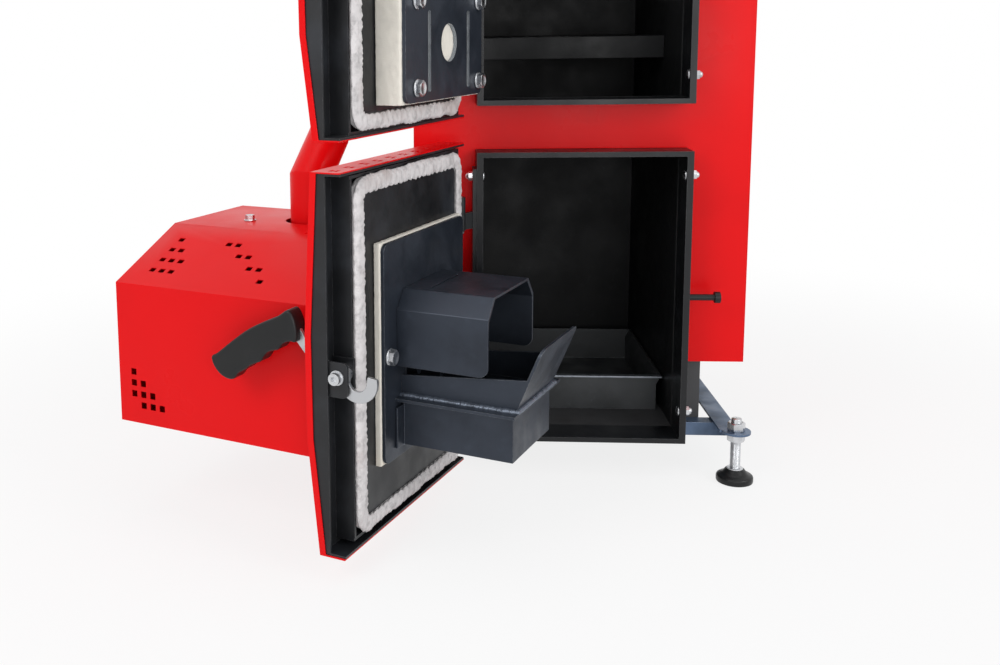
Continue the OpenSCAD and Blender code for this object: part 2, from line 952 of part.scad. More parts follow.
// Slot that the latch arm moves in
module arm_slot(latch_z) {
    block([latch_a - lever_t / 2 - slot_gap, -cover_bulge - over, latch_z - slot_low],
        [latch_a + lever_t / 2 + slot_gap, -pan_b + pan_t + over, latch_z + slot_high]);
}

module duct_hole() {
    block([burner_a - duct_w / 2 - duct_gap, -cover_bulge - over, duct_z0 - duct_gap],
        [burner_a + duct_w / 2 + duct_gap, bplate_y + over, duct_z1 + duct_gap]);
}

module bolt_holes(d) {
    for (k = [-1, 1])
        rod_y([burner_a + k * bbolt_off, tray_b - pan_t - over, bbolt_z], d, far / 10);
}

// Walls that hold the rope, the raised tray and the margin plate
module door_pan(c0, c1, n0, n1, latch_z) {
    r0 = n0 + lid_in;
    r1 = n1 - lid_in;
    g = rope_r + soft_gap;
    x0 = cover_a0 + pan_edge + soft_gap;
    x1 = cover_a0 + cover_w - pan_edge - soft_gap;
    z0 = c0 + cover_t;
    z1 = c1 - cover_t;
    difference() {
        union() {
            block([x0, -pan_b, z0], [x1, -pan_b + pan_t, z1]);
            // rim inside the cover, higher along the top and the bottom
            block([x0, -pan_b, z0], [x1, cover_back, z0 + pan_t]);
            block([x0, -pan_b, z1 - pan_t], [x1, cover_back, z1]);
            block([x0, -pan_b, z0], [x0 + pan_t, -rim_b, z1]);
            // rim along the free edge, back to the cover sheet
            intersection() {
                side_plate(x1 - pan_t, pan_t)
                    polygon(concat([[-rim_b, c0]], face_pts(c0, c1, cover_t + soft_gap),
                        [[-rim_b, c1]]));
                block([x1 - pan_t, -far, z0], [x1, far, z1]);
            }
            // channel wall round the rope
            difference() {
                block([rope_a0 - g - chan_t, -pan_b, r0 - g - chan_t],
                    [rope_a1 + g + chan_t, chan_b_lids, r1 + g + chan_t]);
                block([rope_a0 - g, -pan_b + pan_t, r0 - g],
                    [rope_a1 + g, chan_b_lids + over, r1 + g]);
            }
            block([rope_a1 + g, -pan_b, r0 - g], [rope_a1 + g + chan_t, chan_b, r1 + g]);
            // floor of the rope channel
            difference() {
                block([rope_a0 - g, chan_floor_y - pan_t, r0 - g],
                    [rope_a1 + g, chan_floor_y, r1 + g]);
                front_plate(chan_floor_y - pan_t - over, pan_t + 2 * over)
                    round_rect([rope_a0 + g, r0 + g], [rope_a1 - g, r1 - g], rope_corner - g);
            }
            // raised tray inside the rope
            difference() {
                front_plate(chan_floor_y - pan_t, tray_b - chan_floor_y + pan_t)
                    round_rect([rope_a0 + g, r0 + g], [rope_a1 - g, r1 - g], rope_corner - g);
                front_plate(chan_floor_y - pan_t - over, tray_b - chan_floor_y + over)
                    round_rect([rope_a0 + g + pan_t, r0 + g + pan_t],
                        [rope_a1 - g - pan_t, r1 - g - pan_t], rope_corner - g - pan_t);
            }
        }
        arm_slot(latch_z);
        rod_x([rope_a1 + g - over, pivot_y, latch_z], lbolt_d + 2 * fit_gap,
            chan_t + 2 * over);
    }
}

// Knuckles of a door on lugs that are welded to the rope channel
module door_hinges(n0, n1) {
    for (z = hinge_zs(n0, n1))
        difference() {
            union() {
                translate([0, 0, z + knuckle_gap])
                    cylinder(h = knuckle_h, d = knuckle_d);
                block([0, -lug_t, z + knuckle_gap],
                    [rope_a0 - rope_r - soft_gap - chan_t, 0, z + knuckle_gap + knuckle_h]);
            }
            translate([0, 0, z - over])
                cylinder(h = knuckle_h + 3 * over, d = pin_d + 2 * fit_gap);
        }
}

module rope_corner_piece(x, z, turn) {
    translate([x, rope_y, z])
        rotate([90, turn, 0])
            rotate_extrude(angle = 90)
                translate([rope_corner, 0])
                    circle(rope_r, $fn = 32);
}

module door_rope(n0, n1) {
    z0 = n0 + lid_in;
    z1 = n1 - lid_in;
    k = rope_corner;
    for (x = [rope_a0, rope_a1])
        translate([x, rope_y, z0 + k])
            cylinder(h = z1 - z0 - 2 * k, r = rope_r, $fn = 32);
    for (z = [z0, z1])
        translate([rope_a0 + k, rope_y, z])
            rotate([0, 90, 0])
                cylinder(h = rope_a1 - rope_a0 - 2 * k, r = rope_r, $fn = 32);
    rope_corner_piece(rope_a1 - k, z1 - k, 0);
    rope_corner_piece(rope_a1 - k, z0 + k, 90);
    rope_corner_piece(rope_a0 + k, z0 + k, 180);
    rope_corner_piece(rope_a0 + k, z1 - k, 270);
}

module lower_door_cover() {
    color("#d8141a")
    on_door()
        difference() {
            door_cover(low_c0, low_c1, low_latch_z);
            duct_hole();
        }
}

module lower_door_pan() {
    color("#1d1d20")
    on_door()
        difference() {
            door_pan(low_c0, low_c1, low_z0, low_z1, low_latch_z);
            duct_hole();
            bolt_holes(bbolt_d + 2 * fit_gap);
        }
}

module lower_door_hinges() {
    color("#1d1d20")
    on_door()
        door_hinges(low_z0, low_z1);
}

module upper_door_hinges() {
    color("#1d1d20")
    on_door()
        door_hinges(up_z0, up_z1);
}

module lower_door_rope() {
    color("#e8e6e0")
    on_door()
        door_rope(low_z0, low_z1);
}

module lower_door_insulation() {
    color("#efe6cc")
    on_door()
        difference() {
            block([board_a0, tray_b, board_z0], [board_a1, tray_b + board_t, board_z1]);
            duct_hole();
            bolt_holes(bbolt_d + 2 * fit_gap);
        }
}

module burner_plate() {
    color("#33363a")
    on_door()
        difference() {
            front_plate(bplate_y0, bplate_t)
                round_rect([board_a0 + bplate_in, board_z0 + bplate_in],
                    [board_a1 - bplate_in, board_z1 - bplate_in], bplate_r);
            duct_hole();
            bolt_holes(bbolt_d + 2 * fit_gap);
        }
}

module hood_outline(t) {
    w = hood_w / 2 - t;
    z1 = hood_top - t;
    translate([burner_a, 0])
        polygon([[-w, hood_z0 - (t > 0 ? over : 0)], [-w, z1 - hood_cut_z],
            [-w + hood_cut_a, z1], [w - hood_cut_a, z1], [w, z1 - hood_cut_z],
            [w, hood_z0 - (t > 0 ? over : 0)]]);
}

module burner_hood() {
    color("#2f3236")
    on_door()
        difference() {
            front_plate(bplate_y, hood_len)
                difference() {
                    hood_outline(0);
                    hood_outline(burn_t);
                }
            // round lower corner at the open end
            side_plate(0, far)
                difference() {
                    translate([bplate_y + hood_len - hood_corner, hood_z0 - over])
                        square([hood_corner + over, hood_corner + over]);
                    translate([bplate_y + hood_len - hood_corner, hood_z0 + hood_corner])
                        circle(hood_corner);
                }
            // expansion slit in the roof
            block([burner_a - hood_w / 2 + hood_slit_in, bplate_y + hood_slit_b,
                hood_top - burn_t - over],
                [burner_a + hood_w / 2 - hood_slit_in, bplate_y + hood_slit_b + hood_slit_w,
                hood_top + over]);
        }
}

// Lip plate that leans outwards, with its top corners rounded
module leaning_lip(y) {
    z0 = trough_z - collar_h / 2;
    z1 = trough_z + lip_h;
    x0 = burner_a - trough_w / 2;
    difference() {
        side_plate(x0, trough_w)
            polygon([[y - burn_t, z0], [y, z0], [y + lip_lean, z1],
                [y + lip_lean - burn_t, z1]]);
        front_plate(y - burn_t, lip_lean + 2 * burn_t)
            for (m = [0, 1])
                translate([burner_a, 0])
                    mirror([m, 0])
                        difference() {
                            translate([trough_w / 2 - lip_r, z1 - lip_r])
                                square([lip_r + over, lip_r + over]);
                            translate([trough_w / 2 - lip_r, z1 - lip_r])
                                circle(lip_r);
                        }
    }
}

// Collar on top of the box, side walls and the leaning lip plate
module burner_trough() {
    color("#2f3236")
    on_door()
        difference() {
            union() {
                block([burner_a - trough_w / 2 - collar_over, bplate_y,
                    trough_z - collar_h],
                    [burner_a + trough_w / 2 + collar_over, bplate_y + trough_len + collar_lip,
                    trough_z]);
                for (k = [0, 1])
                    side_plate(burner_a - trough_w / 2 + k * (trough_w - burn_t), burn_t)
                        polygon([[bplate_y, trough_z],
                            [bplate_y + trough_len - burn_t / 2, trough_z],
                            [bplate_y + trough_len - burn_t / 2
                            + lip_lean * trough_rise1 / lip_h, trough_z + trough_rise1],
                            [bplate_y, trough_z + trough_rise0]]);
                leaning_lip(bplate_y + trough_len);
            }
            block([burner_a - trough_w / 2 + burn_t + duct_gap, bplate_y - over,
                trough_z - collar_h - over],
                [burner_a + trough_w / 2 - burn_t - duct_gap,
                bplate_y + trough_len - 2 * burn_t, trough_z + over]);
        }
}

module burner_box() {
    color("#2b2e32")
    on_door()
        union() {
            difference() {
                block([burner_a - trough_w / 2, bplate_y, box_z],
                    [burner_a + trough_w / 2, bplate_y + trough_len - hood_slit_w,
                    box_z + box_h]);
                block([burner_a - trough_w / 2 + burn_t, bplate_y - over, box_z + burn_t],
                    [burner_a + trough_w / 2 - burn_t,
                    bplate_y + trough_len - hood_slit_w - burn_t, box_z + box_h + over]);
            }
            block([burner_a + trough_w / 2, bplate_y, box_z],
                [burner_a + trough_w / 2 + tab_w, bplate_y + tab_t, box_z + tab_h]);
        }
}

module burner_bolts() {
    color("#c9ccd1")
    on_door()
        for (k = [-1, 1]) {
            rod_y([burner_a + k * bbolt_off, tray_b - pan_t, bbolt_z], bbolt_d,
                board_t + bplate_t + pan_t);
            rod_y([burner_a + k * bbolt_off, bplate_y, bbolt_z], bwasher_d, bwasher_t);
            hex_y([burner_a + k * bbolt_off, bplate_y + bwasher_t, bbolt_z], bhead_d, bhead_h);
        }
}

// Duct through the door and the feeding chamber in the casing
module burner_body() {
    color("#55595e")
    on_door()
        difference() {
            union() {
                block([burner_a - duct_w / 2, -cover_bulge - body_t, duct_z0],
                    [burner_a + duct_w / 2, bplate_y, duct_z1]);
                block([body_a0, -body_b1, body_z0],
                    [body_a1, -cover_bulge - body_t, body_z1]);
            }
            block([burner_a - duct_w / 2 + body_t, -cover_bulge - body_t - over,
                duct_z0 + body_t],
                [burner_a + duct_w / 2 - body_t, bplate_y + over, duct_z1 - body_t]);
            block([body_a0 + body_t, -body_b1 + body_t, body_z0 + body_t],
                [body_a1 - body_t, -cover_bulge - 2 * body_t, body_z1 - body_t]);
            block([burner_a - duct_w / 2 + body_t, -cover_bulge - 3 * body_t,
                body_z0 + body_t],
                [burner_a + duct_w / 2 - body_t, -cover_bulge, body_z1 - body_t]);
            translate([tube_a, -tube_b, body_z1 - body_t - over])
                cylinder(h = body_t + 2 * over, d = tube_d - 2 * tube_t);
            rod_y([burner_a, -body_b1 - over, auger_z], auger_shaft * 2 + 2 * fit_gap,
                body_t + 2 * over);
        }
}

// Shaft with a row of slanted vanes
module feed_auger() {
    color("#7d8288")
    on_door() {
        rod_y([burner_a, -auger_b1 - 3 * body_t, auger_z], auger_shaft * 2,
            auger_b1 + auger_b0 * -1 + 3 * body_t);
        for (b = [-auger_b1 + auger_pitch : auger_pitch / 2 : -auger_b0 - auger_pitch / 2])
            translate([burner_a, b, auger_z])
                rotate([-90, 0, 0])
                    cylinder(h = auger_vane, r = auger_r);
    }
}

module fan_housing() {
    color("#6d7176")
    on_door()
        translate([fan_a, -fan_b - fan_r, body_z1])
            difference() {
                cylinder(h = fan_h, r = fan_r);
                translate([0, 0, fan_t])
                    cylinder(h = fan_h - 2 * fan_t, r = fan_r - fan_t);
                translate([0, 0, fan_h - fan_t - over])
                    cylinder(h = fan_t + 2 * over, r = fan_eye);
                translate([0, 0, -over])
                    cylinder(h = fan_t + 2 * over, r = fan_shaft + fit_gap);
            }
}

module fan_impeller() {
    color("#9a9da2")
    on_door()
        translate([fan_a, -fan_b - fan_r, body_z1 + soft_gap]) {
            cylinder(h = fan_t, r = fan_shaft);
            translate([0, 0, fan_t + fan_t]) {
                cylinder(h = fan_t, r = impeller_r);
                cylinder(h = impeller_h, r = fan_boss);
                for (i = [0 : blade_n - 1])
                    rotate([0, 0, i * 360 / blade_n])
                        translate([hub_r, -blade_t / 2, 0])
                            cube([impeller_r - hub_r, blade_t, impeller_h]);
            }
            translate([0, 0, fan_t])
                cylinder(h = fan_t, r = fan_shaft);
        }
}

module case_outline(t) {
    x0 = bc_a0 + t;
    x1 = bc_a0 + case_w - t;
    z1 = case_z + case_h - t;
    polygon([[x0, case_z + t], [x1, case_z + t], [x1, z1 - bc_bevel_z],
        [x1 - bc_bevel_a, z1], [x0, z1]]);
}

module burner_casing() {
    color("#d8141a")
    on_door()
        difference() {
            front_plate(-case_b, case_b)
                case_outline(0);
            front_plate(-case_b + bc_t, case_b + over)
                case_outline(bc_t);
            cover_solid(low_c0, low_c1);
            block([0, -cover_low_b, 0], [far, far, far]);
            translate([tube_a, -tube_b, case_z + case_h - bc_t - over])
                cylinder(h = bc_t + 2 * over, r = tube_hole);
            translate([screw_a, -screw_b, case_z + case_h - bc_t - over])
                cylinder(h = bc_t + 2 * over, d = screw_d + 2 * fit_gap);
            for (g = sq_g1)
                bevel_square(sq_first + g[0] * sq_slope, sq1_b - g[1] * sq_pitch);
            for (g = sq_g2)
                bevel_square(sq_first + g[0] * sq_slope, sq2_b - g[1] * sq_pitch);
            for (g = sq_g3)
                block([bc_a0 + case_w - 2 * bc_t, -sq3_b + g[0] * sq_pitch - sq / 2,
                    sq3_z + g[1] * sq_pitch - sq / 2],
                    [bc_a0 + case_w + over, -sq3_b + g[0] * sq_pitch + sq / 2,
                    sq3_z + g[1] * sq_pitch + sq / 2]);
        }
}

// Square hole through the bevelled side, s along a and b along the casing
module bevel_square(s, b) {
    x = bc_a0 + case_w - bc_bevel_a + s;
    z = case_z + case_h - s * bc_bevel_z / bc_bevel_a;
    translate([x, -b, z])
        rotate([0, atan2(bc_bevel_z, bc_bevel_a), 0])
            translate([-sq / 2, -sq / 2, -3 * bc_t])
                cube([sq, sq, 6 * bc_t]);
}

module casing_screw() {
    color("#c9ccd1")
    on_door()
        translate([screw_a, -screw_b, case_z + case_h]) {
            translate([0, 0, -bc_t - screw_head_h])
                cylinder(h = bc_t + screw_head_h, d = screw_d);
            cylinder(h = screw_head_h / 4, d = screw_head_d * 1.3);
            translate([0, 0, screw_head_h / 4])
                cylinder(h = screw_head_h, d = screw_head_d, $fn = 6);
        }
}

// Straight leg and a slanted leg that meet at a mitre
module bent_rod(d, below, above) {
    intersection() {
        translate([0, 0, -below])
            cylinder(h = below + d, d = d);
        rotate([0, -22.5, 0])
            translate([-far, -far, -2 * far])
                cube([2 * far, 2 * far, 2 * far]);
    }
    intersection() {
        rotate([0, -45, 0])
            translate([0, 0, -d])
                cylinder(h = above + d, d = d);
        rotate([0, -22.5, 0])
            translate([-far, -far, 0])
                cube([2 * far, 2 * far, 2 * far]);
    }
}

module feed_tube() {
    color("#d8141a")
    on_door()
        translate([tube_a, -tube_b, tube_bend_z])
            difference() {
                bent_rod(tube_d, tube_bend_z - body_z1, tube_leg);
                bent_rod(tube_d - 2 * tube_t, tube_bend_z - body_z1 + over, tube_leg + over);
            }
}

// ---------- Latches ----------

module on_latch(z) {
    on_door()
        translate([0, pivot_y, z])
            children();
}

// Hook, boss and arm in one plate, drawn in Y and Z about the pivot
module latch_lever(z) {
    on_latch(z)
        difference() {
            side_plate(latch_a - lever_t / 2, lever_t) {
                circle(boss_r);
                rotate([0, 0, hook_dir])
                    difference() {
                        translate([hook_reach, 0])
                            circle(hook_r);
                        translate([hook_reach, 0])
                            circle(throat_r);
                        translate([hook_reach - throat_r, 0])
                            square([2 * throat_r, hook_r + over]);
                        translate([-hook_r, hook_top])
                            square([3 * hook_r, hook_r]);
                    }
                polygon(latch_reach * arm_shares);
            }
            rod_x([0, 0, 0], lbolt_d + 2 * fit_gap, far);
        }
}

module latch_grip(z) {
    on_latch(z)
        difference() {
            side_plate(latch_a - grip_w / 2, grip_w)
                polygon(latch_reach * grip_shares);
            side_plate(latch_a - lever_t / 2, lever_t)
                polygon(latch_reach * arm_shares);
        }
}

// Two cheeks that carry the lever, joined by a web below it
module latch_bracket(z) {
    x0 = rope_a1 + rope_r + soft_gap + chan_t;
    x1 = latch_a + lever_t / 2 + bracket_gap;
    on_latch(z)
        difference() {
            union() {
                block([x0, -bracket_front, -bracket_low], [x0 + bracket_t, bracket_back, bracket_high]);
                block([x0, -bracket_front + bracket_r, -bracket_low - bracket_t],
                    [x1 + bracket_t, 0, -bracket_low]);
                side_plate(x1, bracket_t)
                    round_rect([-bracket_front, -bracket_low - bracket_t],
                        [bracket_nose, bracket_high], bracket_r);
            }
            rod_x([0, 0, 0], lbolt_d + 2 * fit_gap, far);
        }
}

module latch_bolt(z) {
    x0 = rope_a1 + rope_r + soft_gap;
    x1 = latch_a + lever_t / 2 + bracket_gap + bracket_t;
    on_latch(z)
        difference() {
            union() {
                rod_x([x0, 0, 0], lbolt_d, x1 + lwasher_t - x0);
                rod_x([x1, 0, 0], lwasher_d, lwasher_t);
                rod_x([x1 + lwasher_t, 0, 0], lbolt_head_d, lbolt_head_h);
                rod_x([x0 + chan_t + bracket_t, 0, 0], lwasher_d,
                    latch_a - lever_t / 2 - soft_gap - x0 - chan_t - bracket_t);
            }
            translate([x1 + lwasher_t + lbolt_head_h - lbolt_deep, 0, 0])
                rotate([0, 90, 0])
                    cylinder(h = lbolt_deep + over, d = lbolt_socket, $fn = 6);
        }
}

module lower_latch_bracket() {
    color("#17171a")
    latch_bracket(low_latch_z);
}

module lower_latch_bolt() {
    color("#b9bcc0")
    latch_bolt(low_latch_z);
}

module lower_latch_lever() {
    color("#b4b8bd")
    latch_lever(low_latch_z);
}

module lower_latch_grip() {
    color("#121214")
    latch_grip(low_latch_z);
}

module upper_latch_bracket() {
    color("#17171a")
    latch_bracket(up_latch_z);
}

module upper_latch_bolt() {
    color("#b9bcc0")
    latch_bolt(up_latch_z);
}

module upper_latch_lever() {
    color("#b4b8bd")
    latch_lever(up_latch_z);
}

module upper_latch_grip() {
    color("#121214")
    latch_grip(up_latch_z);
}

// ---------- Upper door ----------

module upper_door_cover() {
    color("#d8141a")
    on_door()
        door_cover(up_c0, up_c1, up_latch_z);
}

module upper_bolt_holes() {
    for (x = up_bolt_as)
        for (z = up_bolt_zs)
            rod_y([x, tray_b - pan_t - over, up_z0 + z], bbolt_d + 2 * fit_gap, far / 10);
}

module upper_door_pan() {
    color("#1d1d20")
    on_door()
        difference() {
            door_pan(up_c0, up_c1, up_z0, up_z1, up_latch_z);
            upper_bolt_holes();
        }
}

module upper_door_rope() {
    color("#e8e6e0")
    on_door()
        door_rope(up_z0, up_z1);
}

module upper_door_insulation() {
    color("#efe6cc")
    on_door()
        difference() {
            block([board_a0, tray_b, up_z0 + up_board_z], [up_a1, up_board_b, up_z1 - up_board_z]);
            upper_bolt_holes();
        }
}

module upper_door_plate() {
    color("#3b3f43")
    on_door()
        difference() {
            front_plate(up_board_b, up_plate_t)
                difference() {
                    round_rect([board_a0, up_z0 + up_board_z + bplate_in],
                        [up_a1 - up_plate_in, up_z1 - up_board_z - bplate_in], bplate_r);
                    translate([up_hole_a, up_z0 + up_hole_z])
                        circle(up_hole_r);
                    for (x = [up_slot_a, up_slot_a2])
                        round_rect([x - up_slot_w / 2, up_z0 + up_slot_z0],
                            [x + up_slot_w / 2, up_z0 + up_slot_z0 + up_slot_l], up_slot_w / 3);
                }
            upper_bolt_holes();
        }
}

module upper_plate_bolts() {
    color("#c9ccd1")
    on_door()
        for (x = up_bolt_as)
            for (z = up_bolt_zs)
                translate([x, 0, up_z0 + z]) {
                    rod_y([0, tray_b - pan_t, 0], bbolt_d, up_board_b + up_plate_t - tray_b + pan_t);
                    rod_y([0, up_board_b + up_plate_t, 0], bwasher_d, bwasher_t);
                    hex_y([0, up_board_b + up_plate_t + bwasher_t, 0], bhead_d, bhead_h);
                }
}

outer_shell();
firebox();
lower_neck();
upper_neck();
lower_water_shelf();
upper_water_shelf();
front_panel();
left_panel();
right_panel();
back_panel();
top_panel();
casing_insulation();
hinge_plates();
hinge_pins();
neck_bolts();
neck_nuts();
latch_pins();
base_rails();
support_angles();
levelling_feet();
foot_nuts();
flue_outlet();
water_sockets();
controller_housing();
controller_display();
controller_knob();
power_switch();
ash_drawer();
lower_door_cover();
lower_door_pan();
lower_door_hinges();
lower_door_rope();
lower_door_insulation();
burner_plate();
burner_hood();
burner_trough();
burner_box();
burner_bolts();
burner_body();
feed_auger();
fan_housing();
fan_impeller();
burner_casing();
casing_screw();
feed_tube();
lower_latch_bracket();
lower_latch_bolt();
lower_latch_lever();
lower_latch_grip();
upper_door_cover();
upper_door_pan();
upper_door_hinges();
upper_door_rope();
upper_door_insulation();
upper_door_plate();
upper_plate_bolts();
upper_latch_bracket();
upper_latch_bolt();
upper_latch_lever();
upper_latch_grip();
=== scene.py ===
"""Solid fuel boiler with its firing doors open: finishes, ropes, fasteners, stage."""

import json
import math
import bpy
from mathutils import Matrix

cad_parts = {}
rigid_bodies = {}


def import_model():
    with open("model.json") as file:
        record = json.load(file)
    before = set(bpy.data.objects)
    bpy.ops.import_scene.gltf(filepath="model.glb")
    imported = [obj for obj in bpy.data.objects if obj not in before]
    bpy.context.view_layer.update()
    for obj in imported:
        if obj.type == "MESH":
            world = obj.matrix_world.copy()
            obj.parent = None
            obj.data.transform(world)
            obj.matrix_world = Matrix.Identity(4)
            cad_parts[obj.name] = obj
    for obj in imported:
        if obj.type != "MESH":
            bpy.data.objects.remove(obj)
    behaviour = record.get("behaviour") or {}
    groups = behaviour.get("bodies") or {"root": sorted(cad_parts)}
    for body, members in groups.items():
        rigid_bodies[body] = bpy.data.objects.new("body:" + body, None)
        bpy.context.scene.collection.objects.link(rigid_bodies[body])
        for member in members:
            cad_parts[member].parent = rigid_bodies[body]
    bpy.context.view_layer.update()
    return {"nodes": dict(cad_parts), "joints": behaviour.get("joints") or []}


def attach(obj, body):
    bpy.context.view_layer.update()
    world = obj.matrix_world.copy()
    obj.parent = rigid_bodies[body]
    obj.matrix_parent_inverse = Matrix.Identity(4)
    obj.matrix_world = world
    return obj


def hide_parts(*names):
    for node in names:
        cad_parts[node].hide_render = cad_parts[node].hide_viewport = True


bl_info = {
    "name": "Solid fuel boiler",
    "version": (1, 0, 0),
    "blender": (4, 5, 0),
    "location": "View3D > Sidebar > Boiler",
    "description": "Dresses the boiler frame with finishes, ropes, boards and fasteners",
    "category": "Object",
}

import bmesh
import bpy
from bpy.props import FloatProperty, FloatVectorProperty, PointerProperty
from mathutils import Matrix, Vector, noise

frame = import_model()
MM = 0.001
UP = Vector((0, 0, 1))

JOINT = {j["name"]: j for j in frame["joints"]}
HINGE = Vector(JOINT["lower_door"]["pos_m"])
# places of the levelling feet, in mm
FEET = ((240, -10), (-240, 34), (240, 586), (-240, 586))

# what the first operator makes, by name
FINISH = {}
TREES = {}


# Settings


def colour(label, value, words):
    return FloatVectorProperty(
        name=label, description=words, subtype="COLOR", size=3, min=0.0, max=1.0, default=value
    )


def length(label, value, words):
    """A size in millimetres, kept in metres."""
    return FloatProperty(
        name=label, description=words, subtype="DISTANCE", unit="LENGTH", min=0.0, precision=5,
        default=value * MM,
    )


class BoilerSizes(bpy.types.PropertyGroup):
    door_open: FloatProperty(
        name="Door opening", description="Angle at which both doors stand open",
        subtype="ANGLE", default=math.radians(114.5),
    )
    rope_radius: length("Rope radius", 10.45, "Half the thickness of the sealing rope")
    rope_depth: length("Braid depth", 0.62, "Depth of the braid in the sealing rope")
    rope_lay: length("Braid pitch", 15.0, "Length of one repeat of the braid")
    bolt_flats: length("Door bolt size", 19.0, "Width across the flats of the door bolts")
    washer_d: length("Washer size", 24.0, "Diameter of the washers under the door bolts")
    dome_flats: length("Dome nut size", 13.0, "Width across the flats of the dome nuts")
    foot_flats: length("Foot nut size", 24.0, "Width across the flats of the foot nuts")
    foot_thread: length("Foot thread", 16.0, "Diameter of the threaded studs of the feet")
    foot_pitch: length("Foot thread pitch", 2.0, "Rise of one turn of the foot thread")
    bead_pitch: length("Weld pitch", 2.6, "Distance between the ripples of a weld")
    bead_width: length("Weld width", 3.2, "Half width of a weld bead")
    grip_edge: length("Grip rounding", 9.0, "Rounding of the hand grips")


class BoilerFinishes(bpy.types.PropertyGroup):
    red: colour("Red paint", (0.80, 0.0045, 0.0065), "Colour of the painted casing")
    black: colour("Black paint", (0.0070, 0.0076, 0.0092), "Colour of the painted door pans")
    plate: colour("Burner steel", (0.034, 0.042, 0.058), "Colour of the heat-stained burner")
    zinc: colour("Zinc plating", (0.60, 0.61, 0.63), "Colour of the plated fasteners")
    rope: colour("Sealing rope", (0.74, 0.71, 0.71), "Colour of the sealing rope")
    board: colour("Insulating board", (0.82, 0.78, 0.70), "Colour of the insulating board")
    plastic: colour("Black plastic", (0.010, 0.0105, 0.011), "Colour of the grips and pads")
    rail: colour("Rail steel", (0.105, 0.155, 0.245), "Colour of the base rails")
    ash: colour("Drawer steel", (0.070, 0.074, 0.078), "Colour of the ash drawer")
    inner: colour("Firebox steel", (0.011, 0.0115, 0.0125), "Colour of the firebox walls")


def sizes():
    return bpy.context.scene.boiler_sizes


# Finishes


class Nodes:
    """Fills an empty node tree."""

    def __init__(self, tree):
        self.tree = tree
        tree.nodes.clear()

    def add(self, kind, inputs=None, **values):
        """A node with its settings, and with its inputs taken from sockets or plain values."""
        node = self.tree.nodes.new(kind)
        for key, value in values.items():
            setattr(node, key, value)
        for slot, value in (inputs or {}).items():
            if isinstance(value, bpy.types.NodeSocket):
                self.tree.links.new(value, node.inputs[slot])
            else:
                node.inputs[slot].default_value = value
        return node

    def math(self, operation, *numbers):
        node = self.add("ShaderNodeMath", dict(enumerate(numbers)), operation=operation)
        return node.outputs[0]

    def span(self, value, low, high, to_low=0.0, to_high=1.0):
        """Carries a value smoothly from one range to another."""
        inputs = {
            "Value": value, "From Min": low, "From Max": high, "To Min": to_low, "To Max": to_high
        }
        node = self.add("ShaderNodeMapRange", inputs, interpolation_type="SMOOTHSTEP")
        return node.outputs["Result"]


def tint(base, factor):
    return tuple(min(1.0, c * factor) for c in base)


class Finish(Nodes):
    """Builds one node material, step by step, round a Principled shader."""

    def __init__(self, name, base, rough, metal=0.0, coat=0.0, coat_rough=0.1, spec=0.5):
        self.mat = bpy.data.materials.new(name)
        self.mat.use_nodes = True
        super().__init__(self.mat.node_tree)
        self.coords = self.add("ShaderNodeTexCoord").outputs["Object"]
        self.base = base
        start = self.add("ShaderNodeRGB").outputs[0]
        start.default_value = (*base, 1.0)
        self.inputs = {
            "Base Color": start, "Roughness": rough, "Metallic": metal, "Coat Weight": coat,
            "Coat Roughness": coat_rough, "Specular IOR Level": spec,
        }

    def noise(self, scale, detail, stretch=None):
        source = self.coords
        if stretch:
            source = self.add("ShaderNodeMapping", {"Vector": source, "Scale": stretch}).outputs[0]
        inputs = {"Vector": source, "Scale": scale, "Detail": detail, "Roughness": 0.55}
        return self.add("ShaderNodeTexNoise", inputs).outputs["Fac"]

    def blend(self, mask, shade):
        """Mixes a shade over the colour where the mask is high."""
        inputs = {"Factor": mask, "A": self.inputs["Base Color"], "B": (*shade, 1.0)}
        node = self.add("ShaderNodeMix", inputs, data_type="RGBA")
        self.inputs["Base Color"] = node.outputs["Result"]
        return self

    def mottle(self, scale, shade, low=0.45, high=0.8, amount=1.0, stretch=None):
        """Clouds of a shade, which is a colour or a share of the finish's own."""
        if isinstance(shade, float):
            shade = tint(self.base, shade)
        mask = self.span(self.noise(scale, 5.0, stretch), low, high, 0.0, amount)
        return self.blend(mask, shade)

    def gloss(self, scale, low, high):
        """Varies the roughness between low and high."""
        self.inputs["Roughness"] = self.span(self.noise(scale, 4.0), 0.3, 0.7, low, high)
        return self

    def bump(self, scale, depth, detail=2.0, stretch=None):
        """Uneven ground, with its depth in metres."""
        inputs = {"Height": self.noise(scale, detail, stretch), "Distance": depth, "Strength": 1.0}
        if "Normal" in self.inputs:
            inputs["Normal"] = self.inputs["Normal"]
        self.inputs["Normal"] = self.add("ShaderNodeBump", inputs).outputs[0]
        return self

    def worn_and_highlit_edges(self, radius, shade, amount):
        """Lightens the outer edges, broken up by noise: partly worn bare metal, partly a painted
        highlight along the edges.
        """
        bevel = self.add("ShaderNodeBevel", {"Radius": radius}, samples=6)
        faces = self.add("ShaderNodeNewGeometry")
        normals = {0: bevel.outputs[0], 1: faces.outputs["Normal"]}
        dot = self.add("ShaderNodeVectorMath", normals, operation="DOT_PRODUCT")
        edge = self.span(dot.outputs["Value"], 0.995, 0.90)
        patches = self.span(self.noise(260.0, 4.0), 0.38, 0.62, 0.15, 1.0)
        return self.blend(
            self.math("MULTIPLY", self.math("MULTIPLY", edge, patches), amount), shade
        )

    def done(self):
        shader = self.add("ShaderNodeBsdfPrincipled", self.inputs)
        self.add("ShaderNodeOutputMaterial", {0: shader.outputs[0]})
        return self.mat
